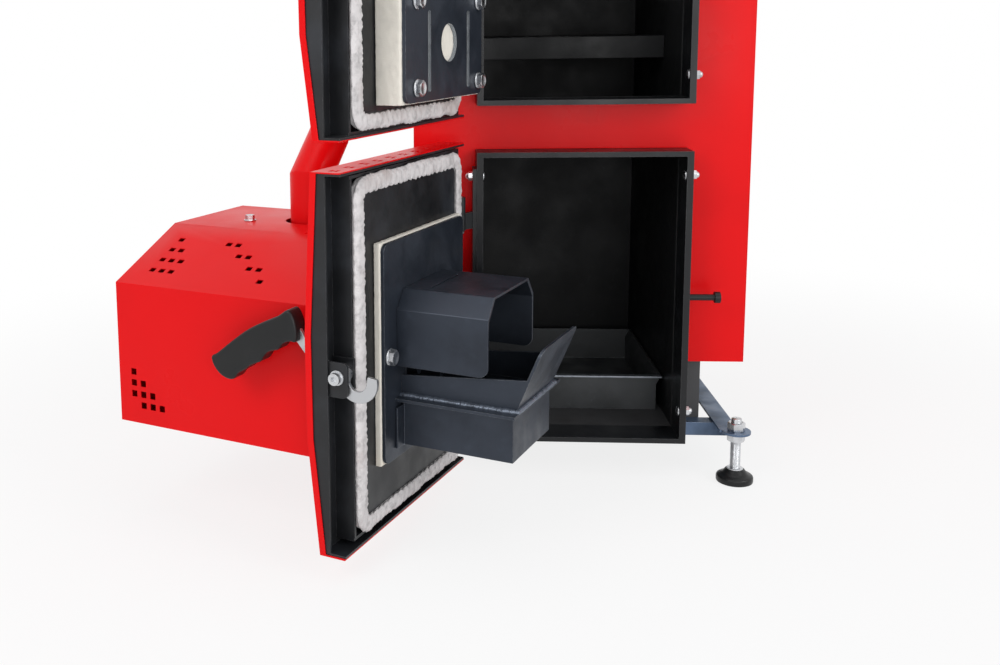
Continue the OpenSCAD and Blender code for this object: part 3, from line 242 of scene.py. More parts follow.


# The lighter edges of these finishes are partly wear, partly a painted edge highlight.
def painted_finishes(f):
    return {
        "red": Finish("Red powder coat", f.red, 0.32, coat=0.03, coat_rough=0.12, spec=0.12)
        .mottle(6.0, 0.93, 0.4).gloss(9.0, 0.27, 0.37)
        .bump(900.0, 0.000035).bump(35.0, 0.00010),
        "black": Finish("Black stove paint", f.black, 0.42, coat=0.05, coat_rough=0.3, spec=0.38)
        .mottle(28.0, 1.9, 0.45, 0.75).mottle(7.0, (0.026, 0.030, 0.038), 0.50, 0.78, 0.7)
        .worn_and_highlit_edges(0.0009, (0.13, 0.13, 0.135), 0.55).gloss(16.0, 0.33, 0.52)
        .bump(650.0, 0.00007).bump(60.0, 0.00012),
        "neck": Finish("Black enamel on the necks", tint(f.black, 0.9), 0.36, coat=0.05,
                       coat_rough=0.2, spec=0.3)
        .mottle(20.0, tint(f.black, 2.2), 0.5, 0.78)
        .worn_and_highlit_edges(0.0012, (0.16, 0.16, 0.165), 0.6)
        .gloss(12.0, 0.28, 0.46).bump(420.0, 0.00008),
    }


# The lighter edges of these finishes are partly wear, partly a painted edge highlight.
def steel_finishes(f):
    return {
        "plate": Finish("Heat-stained burner steel", f.plate, 0.40, metal=0.55)
        .mottle(14.0, 0.62).mottle(46.0, 1.45, 0.55, 0.8, 0.5)
        .mottle(5.0, (0.075, 0.066, 0.060), 0.55, 0.85, 0.35, (1.0, 1.0, 3.0))
        .worn_and_highlit_edges(0.0010, (0.30, 0.31, 0.32), 0.6).gloss(22.0, 0.32, 0.50)
        .bump(700.0, 0.00005).bump(90.0, 0.00008),
        "zinc": Finish("Zinc plating", f.zinc, 0.28, metal=1.0)
        .mottle(60.0, 0.72, 0.45, 0.75).mottle(210.0, (0.42, 0.41, 0.38), 0.6, 0.8, 0.5)
        .gloss(80.0, 0.22, 0.42).bump(900.0, 0.00003, 2.0, (1.0, 1.0, 0.2)),
        "lever": Finish("Laser-cut latch steel", tint(f.zinc, 0.86), 0.34, metal=1.0)
        .mottle(35.0, tint(f.zinc, 0.6), 0.5).gloss(60.0, 0.26, 0.46)
        .bump(500.0, 0.00004, 2.0, (0.1, 0.1, 1.0)),
        "rail": Finish("Blued rail steel", f.rail, 0.38, metal=0.6)
        .mottle(16.0, 0.6).mottle(70.0, (0.20, 0.21, 0.23), 0.58, 0.8, 0.6)
        .worn_and_highlit_edges(0.0012, (0.34, 0.35, 0.37), 0.7).gloss(30.0, 0.30, 0.5)
        .bump(400.0, 0.00006),
        "ash": Finish("Drawer sheet steel", f.ash, 0.44, metal=0.5)
        .mottle(12.0, 0.6).mottle(60.0, 1.8, 0.6, 0.85, 0.5)
        .worn_and_highlit_edges(0.0014, (0.36, 0.37, 0.38), 0.8).gloss(18.0, 0.36, 0.56)
        .bump(350.0, 0.00008),
        "inner": Finish("Firebox plate steel", f.inner, 0.50, metal=0.1, spec=0.22)
        .mottle(7.0, 0.55, 0.4, 0.75, 1.0, (1.0, 1.0, 0.45)).mottle(55.0, 1.9, 0.60, 0.82, 0.6)
        .mottle(4.0, (0.020, 0.016, 0.014), 0.55, 0.85, 0.6).gloss(10.0, 0.38, 0.6)
        .bump(260.0, 0.00015).bump(30.0, 0.0003),
        "jacket": Finish("Primed jacket steel", (0.06, 0.06, 0.063), 0.6, metal=0.2)
        .mottle(20.0, (0.035, 0.034, 0.033)).bump(200.0, 0.0002),
        # bare steel of cut walls; also painted on the drawer lip as a highlight
        "cut": Finish("Laser-cut steel edge", (0.30, 0.33, 0.37), 0.36, metal=0.7)
        .mottle(90.0, (0.17, 0.19, 0.22), 0.45, 0.75).bump(700.0, 0.00005),
        "weld": Finish("Weld bead", (0.15, 0.175, 0.22), 0.34, metal=0.6)
        .mottle(120.0, (0.07, 0.08, 0.10), 0.45, 0.75).bump(900.0, 0.0001),
    }


def fibre_finishes(f):
    return {
        "rope": Finish("White fibre rope", f.rope, 0.92, spec=0.25)
        .mottle(75.0, 0.62, 0.42, 0.75).mottle(18.0, 0.86)
        .mottle(9.0, (0.43, 0.34, 0.31), 0.52, 0.80, 0.65)
        .bump(1400.0, 0.00030, 3.0).bump(380.0, 0.00035),
        "board": Finish("Cream fibre board", f.board, 0.9, spec=0.25)
        .mottle(40.0, 0.88, 0.4).mottle(11.0, (0.80, 0.71, 0.56), 0.55, 0.85, 0.5)
        .bump(900.0, 0.00022, 3.0).bump(160.0, 0.00030),
        "wool": Finish("Mineral wool", (0.42, 0.34, 0.13), 0.95, spec=0.2)
        .mottle(70.0, (0.25, 0.19, 0.07), 0.45, 0.75).bump(500.0, 0.0012, 3.0, (1, 1, 5)),
    }


def control_finishes(f):
    return {
        "plastic": Finish("Moulded black plastic", f.plastic, 0.36, spec=0.28)
        .mottle(18.0, 1.5).gloss(30.0, 0.30, 0.44).bump(1500.0, 0.00005, 1.0),
        "display": Finish("Display glass", (0.012, 0.030, 0.042), 0.08, coat=1.0, coat_rough=0.03)
        .mottle(14.0, (0.015, 0.045, 0.060)),
        "switch": Finish("Red switch plastic", (0.55, 0.012, 0.012), 0.25, coat=0.4)
        .mottle(60.0, (0.45, 0.008, 0.008)).bump(900.0, 0.00003),
        "mark": Finish("Printed white line", (0.75, 0.75, 0.74), 0.5)
        .mottle(300.0, (0.62, 0.62, 0.61)),
    }


def coat(ob, key):
    ob.data.materials.clear()
    ob.data.materials.append(FINISH[key])


# Places and objects


def at(*place):
    """A place in millimetres, as a vector in metres."""
    return Vector(place) * MM


def door_place():
    """From a shut door's own axes, in metres, to where it stands open."""
    return Matrix.Translation(Vector((HINGE.x, HINGE.y, 0.0))) @ Matrix.Rotation(
        -sizes().door_open, 4, "Z"
    )


def on_door(*place):
    return door_place() @ at(*place)


def new_object(name, mesh):
    ob = bpy.data.objects.new(name, mesh)
    bpy.context.scene.collection.objects.link(ob)
    return ob


def path_object(name, points, closed=False):
    """Edges from point to point, for a node tree to follow."""
    count = len(points)
    edges = [(i, (i + 1) % count) for i in range(count if closed else count - 1)]
    mesh = bpy.data.meshes.new(name)
    mesh.from_pydata([tuple(p) for p in points], edges, [])
    return new_object(name, mesh)


def apply_modifiers(ob):
    """Puts what the modifiers make in the place of the object's mesh."""
    bpy.context.view_layer.update()
    evaluated = ob.evaluated_get(bpy.context.evaluated_depsgraph_get())
    mesh = bpy.data.meshes.new_from_object(evaluated)
    ob.modifiers.clear()
    old, ob.data = ob.data, mesh
    bpy.data.meshes.remove(old)
    return mesh


def settle(ob, body, slot, *nodes):
    """Makes a finished piece ride on its body in place of its plain solids."""
    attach(ob, body)
    if nodes:
        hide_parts(*nodes)
    return ob


# Meshes


def mesh_of(bm, name):
    """Turns a bmesh into a mesh and frees it."""
    mesh = bpy.data.meshes.new(name)
    bm.to_mesh(mesh)
    bm.free()
    return mesh


def smooth_mesh(bm, name, sharp=35.0):
    """Mesh from a bmesh, smooth except along edges sharper than the angle."""
    limit = math.radians(sharp)
    for face in bm.faces:
        face.smooth = True
    for edge in bm.edges:
        edge.smooth = len(edge.link_faces) == 2 and edge.calc_face_angle(0.0) < limit
    return mesh_of(bm, name)


def welded(node):
    """The frame's solid as a bmesh with shared corners."""
    bm = bmesh.new()
    bm.from_mesh(frame["nodes"][node].data)
    bmesh.ops.remove_doubles(bm, verts=bm.verts, dist=2e-6)
    return bm


def round_off(bm, edges, width, segments):
    bmesh.ops.bevel(
        bm, geom=edges, offset=width, offset_type="OFFSET", segments=segments, profile=0.5,
        affect="EDGES", clamp_overlap=True,
    )


def folded(node, body, slot, key, width):
    """A frame solid with its edges rounded, as folded or cut sheet has them."""
    flat, sharp = math.radians(0.6), math.radians(30.0)
    bm = welded(node)
    bmesh.ops.dissolve_limit(
        bm, angle_limit=flat, verts=bm.verts, edges=bm.edges, delimit=set()
    )
    corners = [
        e for e in bm.edges if len(e.link_faces) == 2 and e.calc_face_angle(0.0) > sharp
    ]
    round_off(bm, corners, width * MM, 2)
    ob = new_object(node + "_finished", smooth_mesh(bm, node + "_finished"))
    ob.modifiers.new("Even shading", "WEIGHTED_NORMAL").keep_sharp = True
    coat(ob, key)
    return settle(ob, body, slot, node)


def fibrous(node, body, slot, key, voxel, depth, seed):
    """A board with soft corners and an uneven, fibrous surface."""
    ob = new_object(node + "_fibre", mesh_of(welded(node), node + "_fibre"))
    grid = ob.modifiers.new("Even grid", "REMESH")
    grid.mode = "VOXEL"
    grid.voxel_size = voxel * MM
    fine = apply_modifiers(ob)
    normals = [v.normal.copy() for v in fine.vertices]
    shift = Vector((seed * 3.1, seed * 1.7, seed * 2.3))
    for vert, normal in zip(fine.vertices, normals):
        p = vert.co
        rise = 0.6 * noise.noise(p * 120.0 + shift) + 0.4 * noise.noise(p * 420.0 + shift)
        vert.co = p + normal * (rise - 0.55) * depth * MM
    for face in fine.polygons:
        face.use_smooth = True
    coat(ob, key)
    return settle(ob, body, slot, node)


def ring(bm, steps, radius, height):
    """Corners round Z, with numbers or functions of the angle as radius and height."""
    corners = []
    for i in range(steps):
        a = 2 * math.pi * i / steps
        r = radius(a) if callable(radius) else radius
        z = height(a) if callable(height) else height
        corners.append(bm.verts.new((r * math.cos(a), r * math.sin(a), z)))
    return corners


def skin(bm, rings, closed=False):
    """Covers a stack of rings. A ring with one corner is a point."""
    pairs = list(zip(rings, rings[1:]))
    if closed:
        pairs.append((rings[-1], rings[0]))
    steps = max(len(corners) for corners in rings)
    for a, b in pairs:
        for i in range(steps):
            j = (i + 1) % steps
            corners = (a[i % len(a)], a[j % len(a)], b[j % len(b)], b[i % len(b)])
            unique = list(dict.fromkeys(corners))
            if len(unique) > 2:
                bm.faces.new(unique)
    bmesh.ops.recalc_face_normals(bm, faces=bm.faces)
    return bm


def capped(bm, rings):
    """Covers a stack of rings and closes its ends with flat faces."""
    bm.faces.new(list(reversed(rings[0])))
    bm.faces.new(rings[-1])
    return skin(bm, rings)


def turned(profile, steps=32, closed=True):
    """bmesh of a profile of (radius, height) pairs turned about Z."""
    bm = bmesh.new()
    rings = [ring(bm, steps if radius else 1, radius, height) for radius, height in profile]
    return skin(bm, rings, closed)


def hex_head(flats, height, dome=0.0, both=False):
    """bmesh of a hexagon with chamfered corners, and a dome or a shallow dish on top."""
    side = math.pi / 3
    chamfer, fall, corners = 0.97, 0.55, 48
    dome_foot, dome_steps = 0.86, 7
    dish_edge, dish_floor, dish_depth = 0.80, 0.74, 0.018
    rim = flats / 2 * chamfer

    def corner(angle):
        return flats / 2 / math.cos((angle % side) - side / 2)

    def drop(angle):
        return (corner(angle) - rim) * fall

    outline = [(rim, 0.0), (corner, drop)] if both else [(corner, 0.0)]
    outline += [(corner, lambda a: height - drop(a)), (rim, height)]
    if dome:
        top = height + dome
        for k in range(dome_steps):
            t = k / dome_steps * math.pi / 2
            outline.append((rim * dome_foot * math.cos(t), height + dome * math.sin(t)))
    else:
        top = height - flats * dish_depth
        outline += [(rim * dish_edge, height), (rim * dish_floor, top)]
    bm = bmesh.new()
    rings = [ring(bm, corners, radius, z) for radius, z in outline]
    return skin(bm, [ring(bm, 1, 0.0, 0.0)] + rings + [ring(bm, 1, 0.0, top)])


def washer(radius, bore, thick):
    edge = thick * 0.25
    return turned([
        (bore, 0), (radius - edge, 0), (radius, edge), (radius, thick - edge),
        (radius - edge, thick), (bore, thick),
    ], 40)


def joined(*parts):
    """One bmesh from (bmesh, height) pairs stacked along Z."""
    out = bmesh.new()
    for bm, height in parts:
        bmesh.ops.translate(bm, vec=(0, 0, height), verts=bm.verts)
        held = mesh_of(bm, "part")
        out.from_mesh(held)
        bpy.data.meshes.remove(held)
    return out


def on_washer(head, radius, bore, thick):
    """A bolt head or a nut on its washer."""
    return joined((washer(radius, bore, thick), 0.0), (head, thick))


def merged(name, parts):
    """Joins finished meshes into one object."""
    bm = bmesh.new()
    mats = []
    for ob in parts:
        start = len(bm.faces)
        bm.from_mesh(ob.data)
        bm.faces.ensure_lookup_table()
        mat = ob.data.materials[0]
        if mat not in mats:
            mats.append(mat)
        for face in bm.faces[start:]:
            face.material_index = mats.index(mat)
    mesh = mesh_of(bm, name)
    for mat in mats:
        mesh.materials.append(mat)
    for ob in parts:
        bpy.data.objects.remove(ob)
    return new_object(name, mesh)


# Node trees for what repeats


class Tree(Nodes):
    """A geometry node tree with named inputs, built in order."""

    def __init__(self, name, **inputs):
        super().__init__(bpy.data.node_groups.new(name, "GeometryNodeTree"))
        face = self.tree.interface
        face.new_socket(name="Geometry", in_out="INPUT", socket_type="NodeSocketGeometry")
        self.ids = {}
        for label, kind in inputs.items():
            socket = face.new_socket(name=label, in_out="INPUT", socket_type="NodeSocket" + kind)
            self.ids[label] = socket.identifier
        face.new_socket(name="Geometry", in_out="OUTPUT", socket_type="NodeSocketGeometry")
        self.source = self.add("NodeGroupInput")

    def given(self, label):
        return self.source.outputs[label]

    def read(self, name, kind="FLOAT"):
        node = self.add("GeometryNodeInputNamedAttribute", {"Name": name}, data_type=kind)
        return node.outputs["Attribute"]

    def store(self, geometry, name, value):
        node = self.add(
            "GeometryNodeStoreNamedAttribute",
            {"Geometry": geometry, "Name": name, "Value": value}, data_type="FLOAT", domain="POINT",
        )
        return node.outputs[0]

    def path(self, slot, spacing, mode):
        """The given edges as a curve of evenly spaced points."""
        curve = self.add("GeometryNodeMeshToCurve", {0: self.given("Geometry")})
        inputs = {"Curve": curve.outputs[0], slot: spacing}
        return self.add("GeometryNodeResampleCurve", inputs, mode=mode).outputs[0]

    def end(self, geometry):
        """Makes copies real and gives them the finish."""
        whole = self.add("GeometryNodeRealizeInstances", {0: geometry})
        inputs = {"Geometry": whole.outputs[0], "Material": self.given("Finish")}
        painted = self.add("GeometryNodeSetMaterial", inputs)
        self.add("NodeGroupOutput", {0: painted.outputs[0]})
        return self

    def apply(self, ob, **values):
        """Runs the tree on an object and leaves a plain mesh."""
        step = ob.modifiers.new("Build", "NODES")
        step.node_group = self.tree
        for label, value in values.items():
            step[self.ids[label]] = value
        mesh = apply_modifiers(ob)
        mesh.materials.clear()
        mesh.materials.append(values["Finish"])
        mesh.polygons.foreach_set("material_index", [0] * len(mesh.polygons))


def copies_tree():
    """Puts a copy of one shape on every seat, along the seat's own axis."""
    t = Tree("Copies on seats", Shape="Object", Finish="Material")
    shape = t.add(
        "GeometryNodeObjectInfo", {"Object": t.given("Shape")}, transform_space="ORIGINAL"
    )
    axis = t.read("seat_axis", "FLOAT_VECTOR")
    aim = t.add("FunctionNodeAlignRotationToVector", {"Vector": axis}, axis="Z")
    turn = {"Axis": (0, 0, 1), "Angle": t.read("seat_turn")}
    spin = t.add("FunctionNodeAxisAngleToRotation", turn)
    both = t.add("FunctionNodeRotateRotation", {
        "Rotation": aim.outputs["Rotation"], "Rotate By": spin.outputs["Rotation"]
    }, rotation_space="LOCAL")
    place = t.add("GeometryNodeInstanceOnPoints", {
        "Points": t.given("Geometry"), "Instance": shape.outputs["Geometry"],
        "Rotation": both.outputs["Rotation"],
    })
    return t.end(place.outputs[0])


def bead_tree():
    """Lays the ripples of a weld along an edge path."""
    smallest, largest = (0.84, 0.84, 0.62), (1.08, 1.08, 0.86)
    t = Tree("Weld along an edge", Pitch="Float", Width="Float", Seed="Int", Finish="Material")
    drop = t.add("GeometryNodeMeshIcoSphere", {"Subdivisions": 2, "Radius": t.given("Width")})
    smooth = t.add("GeometryNodeSetShadeSmooth", {"Geometry": drop.outputs[0]})
    chance = t.add(
        "FunctionNodeRandomValue", {0: smallest, 1: largest, "Seed": t.given("Seed")},
        data_type="FLOAT_VECTOR",
    )
    place = t.add("GeometryNodeInstanceOnPoints", {
        "Points": t.path("Length", t.given("Pitch"), "LENGTH"), "Instance": smooth.outputs[0],
        "Scale": chance.outputs[0],
    })
    return t.end(place.outputs[0])


def rope_tree():
    """Sweeps a braided rope round a closed path."""
    t = Tree(
        "Braided rope", Radius="Float", Depth="Float", Lay="Float", Rings="Int", Sides="Int",
        Strands="Float", Finish="Material",
    )
    place = t.add("GeometryNodeSplineParameter")
    along = t.store(t.path("Count", t.given("Rings"), "COUNT"), "along", place.outputs["Length"])
    circle = t.add("GeometryNodeCurvePrimitiveCircle", {
        "Resolution": t.given("Sides"), "Radius": t.given("Radius")
    }, mode="RADIUS")
    around = t.store(circle.outputs[0], "around", place.outputs["Factor"])
    tube = t.add("GeometryNodeCurveToMesh", {"Curve": along, "Profile Curve": around})
    u = t.math("DIVIDE", t.read("along"), t.given("Lay"))
    v = t.math("MULTIPLY", t.read("around"), t.given("Strands"))
    strands = [
        t.math("SINE", t.math("MULTIPLY", t.math(way, u, v), 2 * math.pi))
        for way in ("ADD", "SUBTRACT")
    ]
    fuzz_scale, fuzz_depth, sink = 260.0, 2.6, 1.4
    fuzz = t.add("ShaderNodeTexNoise", {"Scale": fuzz_scale, "Detail": 2.0})
    loose = t.math("MULTIPLY", t.math("SUBTRACT", fuzz.outputs["Fac"], 0.5), fuzz_depth)
    braid = t.math("SUBTRACT", t.math("ADD", t.math("MAXIMUM", *strands), loose), sink)
    rise = t.math("MULTIPLY", braid, t.given("Depth"))
    normal = t.add("GeometryNodeInputNormal")
    shift = t.add(
        "ShaderNodeVectorMath", {0: normal.outputs[0], "Scale": rise}, operation="SCALE"
    )
    rope = t.add(
        "GeometryNodeSetPosition", {"Geometry": tube.outputs[0], "Offset": shift.outputs[0]}
    )
    return t.end(rope.outputs[0])


def copies(name, shape_bm, seats, key, sharp=32.0):
    """A copy of the shape on every seat: (place, axis, turn), in metres and radians."""
    shape = bpy.data.objects.new(name + "_shape", smooth_mesh(shape_bm, name + "_shape", sharp))
    mesh = bpy.data.meshes.new(name)
    mesh.from_pydata([tuple(p) for p, _, _ in seats], [], [])
    mesh.attributes.new("seat_axis", "FLOAT_VECTOR", "POINT")
    mesh.attributes.new("seat_turn", "FLOAT", "POINT")
    for i, (_, axis, turn) in enumerate(seats):
        mesh.attributes["seat_axis"].data[i].vector = axis
        mesh.attributes["seat_turn"].data[i].value = turn
    ob = new_object(name, mesh)
    TREES["copies"].apply(ob, Shape=shape, Finish=FINISH[key])
    bpy.data.objects.remove(shape)
    return ob


# Operators


class BOILER_OT_finishes(bpy.types.Operator):
    """Makes every finish and the node trees for what repeats"""

    bl_idname = "boiler.finishes"
    bl_label = "Finishes"

    def execute(self, context):
        for group in (painted_finishes, steel_finishes, fibre_finishes, control_finishes):
            for key, finish in group(context.scene.boiler_finishes).items():
                FINISH[key] = finish.done()
        TREES.update(copies=copies_tree(), bead=bead_tree(), rope=rope_tree())
        return {"FINISHED"}


class BOILER_OT_metalwork(bpy.types.Operator):
    """Rounds the edges of the plates and sheets and paints them"""

    bl_idname = "boiler.metalwork"
    bl_label = "Metalwork"

    # body, slot, finish, rounding in mm and nodes of each kind of plate
    PLATES = (
        ("boiler", "red_paint", "red", 0.5,
         ("front_panel", "left_panel", "right_panel", "back_panel", "top_panel")),
        ("boiler", "steel_dark", "neck", 0.9, ("lower_neck", "upper_neck")),
        ("boiler", "steel_dark", "inner", 1.2, ("upper_water_shelf", "lower_water_shelf")),
        ("boiler", "steel_dark", "black", 0.6, ("hinge_plates",)),
        ("boiler", "steel_dark", "black", 0.7, ("flue_outlet",)),
        ("boiler", "steel_dark", "plastic", 0.8, ("latch_pins",)),
        ("boiler", "rail_steel", "rail", 0.8, ("base_rails", "support_angles")),
        ("boiler", "raw_steel", "plate", 1.0, ("water_sockets",)),
        ("boiler", "zinc", "zinc", 0.8, ("hinge_pins",)),
        ("boiler", "black_plastic", "plastic", 1.0, ("controller_housing",)),
        ("drawer", "raw_steel", "ash", 0.9, ("ash_drawer",)),
        ("lower_door", "raw_steel", "plate", 0.9, ("burner_plate",)),
        ("lower_door", "raw_steel", "plate", 1.0, ("burner_trough",)),
        ("lower_door", "raw_steel", "plate", 1.2, ("burner_hood", "burner_box")),
        ("lower_door", "red_paint", "red", 0.5, ("burner_casing",)),
        ("lower_door", "red_paint", "red", 0.6, ("feed_tube",)),
        ("upper_door", "raw_steel", "plate", 0.9, ("upper_door_plate",)),
    )

    # the same for what the lower and the upper door both have
    ON_BOTH = (
        ("door", "red_paint", "red", 0.8, ("door_cover",)),
        ("door", "steel_dark", "black", 1.0, ("door_pan",)),
        ("door", "steel_dark", "black", 0.8, ("door_hinges", "latch_bracket")),
        ("door", "zinc", "zinc", 0.5, ("latch_bolt",)),
        ("latch", "lever_steel", "lever", 0.8, ("latch_lever",)),
    )

    # finish of each node that keeps the frame's own mesh
    KEPT = {
        "outer_shell": "jacket", "firebox": "inner", "burner_body": "plate",
        "feed_auger": "plate", "fan_housing": "plate", "fan_impeller": "plate",
        "controller_display": "display", "power_switch": "switch",
    }

    # where the hole and slots of the upper plate are, in mm on the door
    CUTS = ((80.0, 245.0), (625.0, 750.0))

    # front edge and height of the lip of the ash drawer, in mm. Its top carries the light cut-steel
    # finish as a painted highlight.
    LIP = (141.0, 122.0)

    def on_highlit_lip(self, face):
        """Whether a face is on the top of the lip that the drawer is pulled by, where a highlight
        is painted.
        """
        p = face.center / MM
        return p.y < self.LIP[0] and p.z > self.LIP[1] and face.normal.z > -0.5

    def in_cut(self, face):
        """Whether a face is a wall of the hole or of a slot in the upper plate."""
        back = door_place().inverted()
        p = (back @ face.center) / MM
        n = back.to_3x3() @ face.normal
        (x0, x1), (z0, z1) = self.CUTS
        return x0 < p.x < x1 and z0 < p.z < z1 and abs(n.y) < 0.6

    def bare_or_highlit(self, ob, is_bare_or_highlit):
        """Gives the faces that pass a test the light cut-steel finish: bare steel on the cut walls,
        a painted highlight on the drawer lip.
        """
        ob.data.materials.append(FINISH["cut"])
        for face in ob.data.polygons:
            if is_bare_or_highlit(face):
                face.material_index = 1

    def execute(self, context):
        plates = list(self.PLATES)
        for door in ("lower_", "upper_"):
            for body, slot, key, width, nodes in self.ON_BOTH:
                plates.append((door + body, slot, key, width, [door + node for node in nodes]))
        # the cut walls of the upper plate show bare steel; the top of the drawer lip gets a painted
        # highlight
        bare_or_highlit = {"ash_drawer": self.on_highlit_lip, "upper_door_plate": self.in_cut}
        for body, slot, key, width, nodes in plates:
            for node in nodes:
                ob = folded(node, body, slot, key, width)
                if node in bare_or_highlit:
                    self.bare_or_highlit(ob, bare_or_highlit[node])
        for node, key in self.KEPT.items():
            coat(frame["nodes"][node], key)
        return {"FINISHED"}


class BOILER_OT_ropes(bpy.types.Operator):
    """Lays the braided sealing ropes in their channels"""

    bl_idname = "boiler.ropes"
    bl_label = "Sealing ropes"

    # seal path of each door: left, right, bottom and top, in mm
    PATHS = {"lower": (32.0, 352.0, 60.0, 520.0), "upper": (32.0, 352.0, 601.0, 986.0)}

    # radius of its corners, steps in a corner, depth, and gap between rings, in mm
    CORNER = 20.0
    STEPS = 8
    DEPTH = 5.0
    RING_GAP = 2.1

    # where the rope starts and ends to swell over a wall, and by how much, in mm.
    # The wall outside the rope is lower than the tray inside it.
    OVER_WALL = (6.5, 9.5, 3.2)
    OVER_TRAY = (10.0, 12.5, 4.2)

    # scale of the coarse and the fine ruffles, their depths across the rope and its lift
    COARSE, FINE = 0.045, 0.31
    ACROSS = (2.2, 1.6)
    LIFT = 0.5
    SWAY = 0.6
    FLANK = 5.0

    def route(self, x0, x1, z0, z1):
        """Points of a path with round corners, on the open door."""
        r = self.CORNER
        points = []
        for cx, cz, start in (
            (x1 - r, z1 - r, 0), (x0 + r, z1 - r, 90), (x0 + r, z0 + r, 180),
            (x1 - r, z0 + r, 270),
        ):
            for k in range(self.STEPS + 1):
                a = math.radians(start + 90 * k / self.STEPS)
                points.append(on_door(cx + r * math.cos(a), self.DEPTH, cz + r * math.sin(a)))
        return points

    def execute(self, context):
        s = sizes()
        for door, path in self.PATHS.items():
            points = self.route(*path)
            total = sum((b - a).length for a, b in zip(points, points[1:] + points[:1]))
            ob = path_object(door + "_door_rope_braided", points, closed=True)
            TREES["rope"].apply(
                ob, Radius=s.rope_radius, Depth=s.rope_depth,
                Lay=total / round(total / s.rope_lay), Rings=int(total / (self.RING_GAP * MM)),
                Sides=36, Strands=4.0, Finish=FINISH["rope"],
            )
            self.ruffle(ob.data, *path)
            for face in ob.data.polygons:
                face.use_smooth = True
            settle(ob, door + "_door", "rope", door + "_door_rope")
        return {"FINISHED"}

    def ruffle(self, mesh, x0, x1, z0, z1):
        """Lets the rope swell over its channel walls, unevenly."""
        middle = Vector(((x0 + x1) / 2, (z0 + z1) / 2))
        half = Vector(((x1 - x0) / 2 - self.CORNER, (z1 - z0) / 2 - self.CORNER))
        place, back = door_place(), door_place().inverted()
        for vert in mesh.vertices:
            x, y, z = (back @ vert.co) / MM
            away = Vector((x, z)) - middle
            sides = Vector((math.copysign(1, away.x), math.copysign(1, away.y)))
            past = Vector((abs(away.x) - half.x, abs(away.y) - half.y))
            if past.x > 0 and past.y > 0:
                out = past.normalized()
                off = past.length - self.CORNER
            else:
                out = Vector((1, 0)) if past.x > past.y else Vector((0, 1))
                off = max(past.x, past.y) - self.CORNER
            low, high, swell = self.OVER_WALL if off > 0 else self.OVER_TRAY
            ramp = min(1.0, max(0.0, (y - low) / (high - low)))
            coarse = noise.noise(Vector((x, y, z)) * self.COARSE)
            fine = noise.noise(Vector((x, y, z)) * self.FINE)
            swell += self.ACROSS[0] * coarse + self.ACROSS[1] * fine
            side = min(1.0, max(-1.0, off / self.FLANK))
            push = ramp * (swell * side + self.SWAY * coarse)
            x += out.x * sides.x * push
            z += out.y * sides.y * push
            y += ramp * self.LIFT * (coarse + fine - 1)
            vert.co = place @ at(x, y, z)


class BOILER_OT_boards(bpy.types.Operator):
    """Gives the insulating boards and the wool their fibrous surface"""

    bl_idname = "boiler.boards"
    bl_label = "Insulation"

    # node, body, slot, finish, grid and depth in mm, and seed
    BOARDS = (
        ("lower_door_insulation", "lower_door", "board", "board", 2.0, 0.5, 1),
        ("upper_door_insulation", "upper_door", "board", "board", 2.5, 0.7, 2),
        ("casing_insulation", "boiler", "mineral_wool", "wool", 10.0, 1.5, 3),
    )

    def execute(self, context):
        for board in self.BOARDS:
            fibrous(*board)
        return {"FINISHED"}


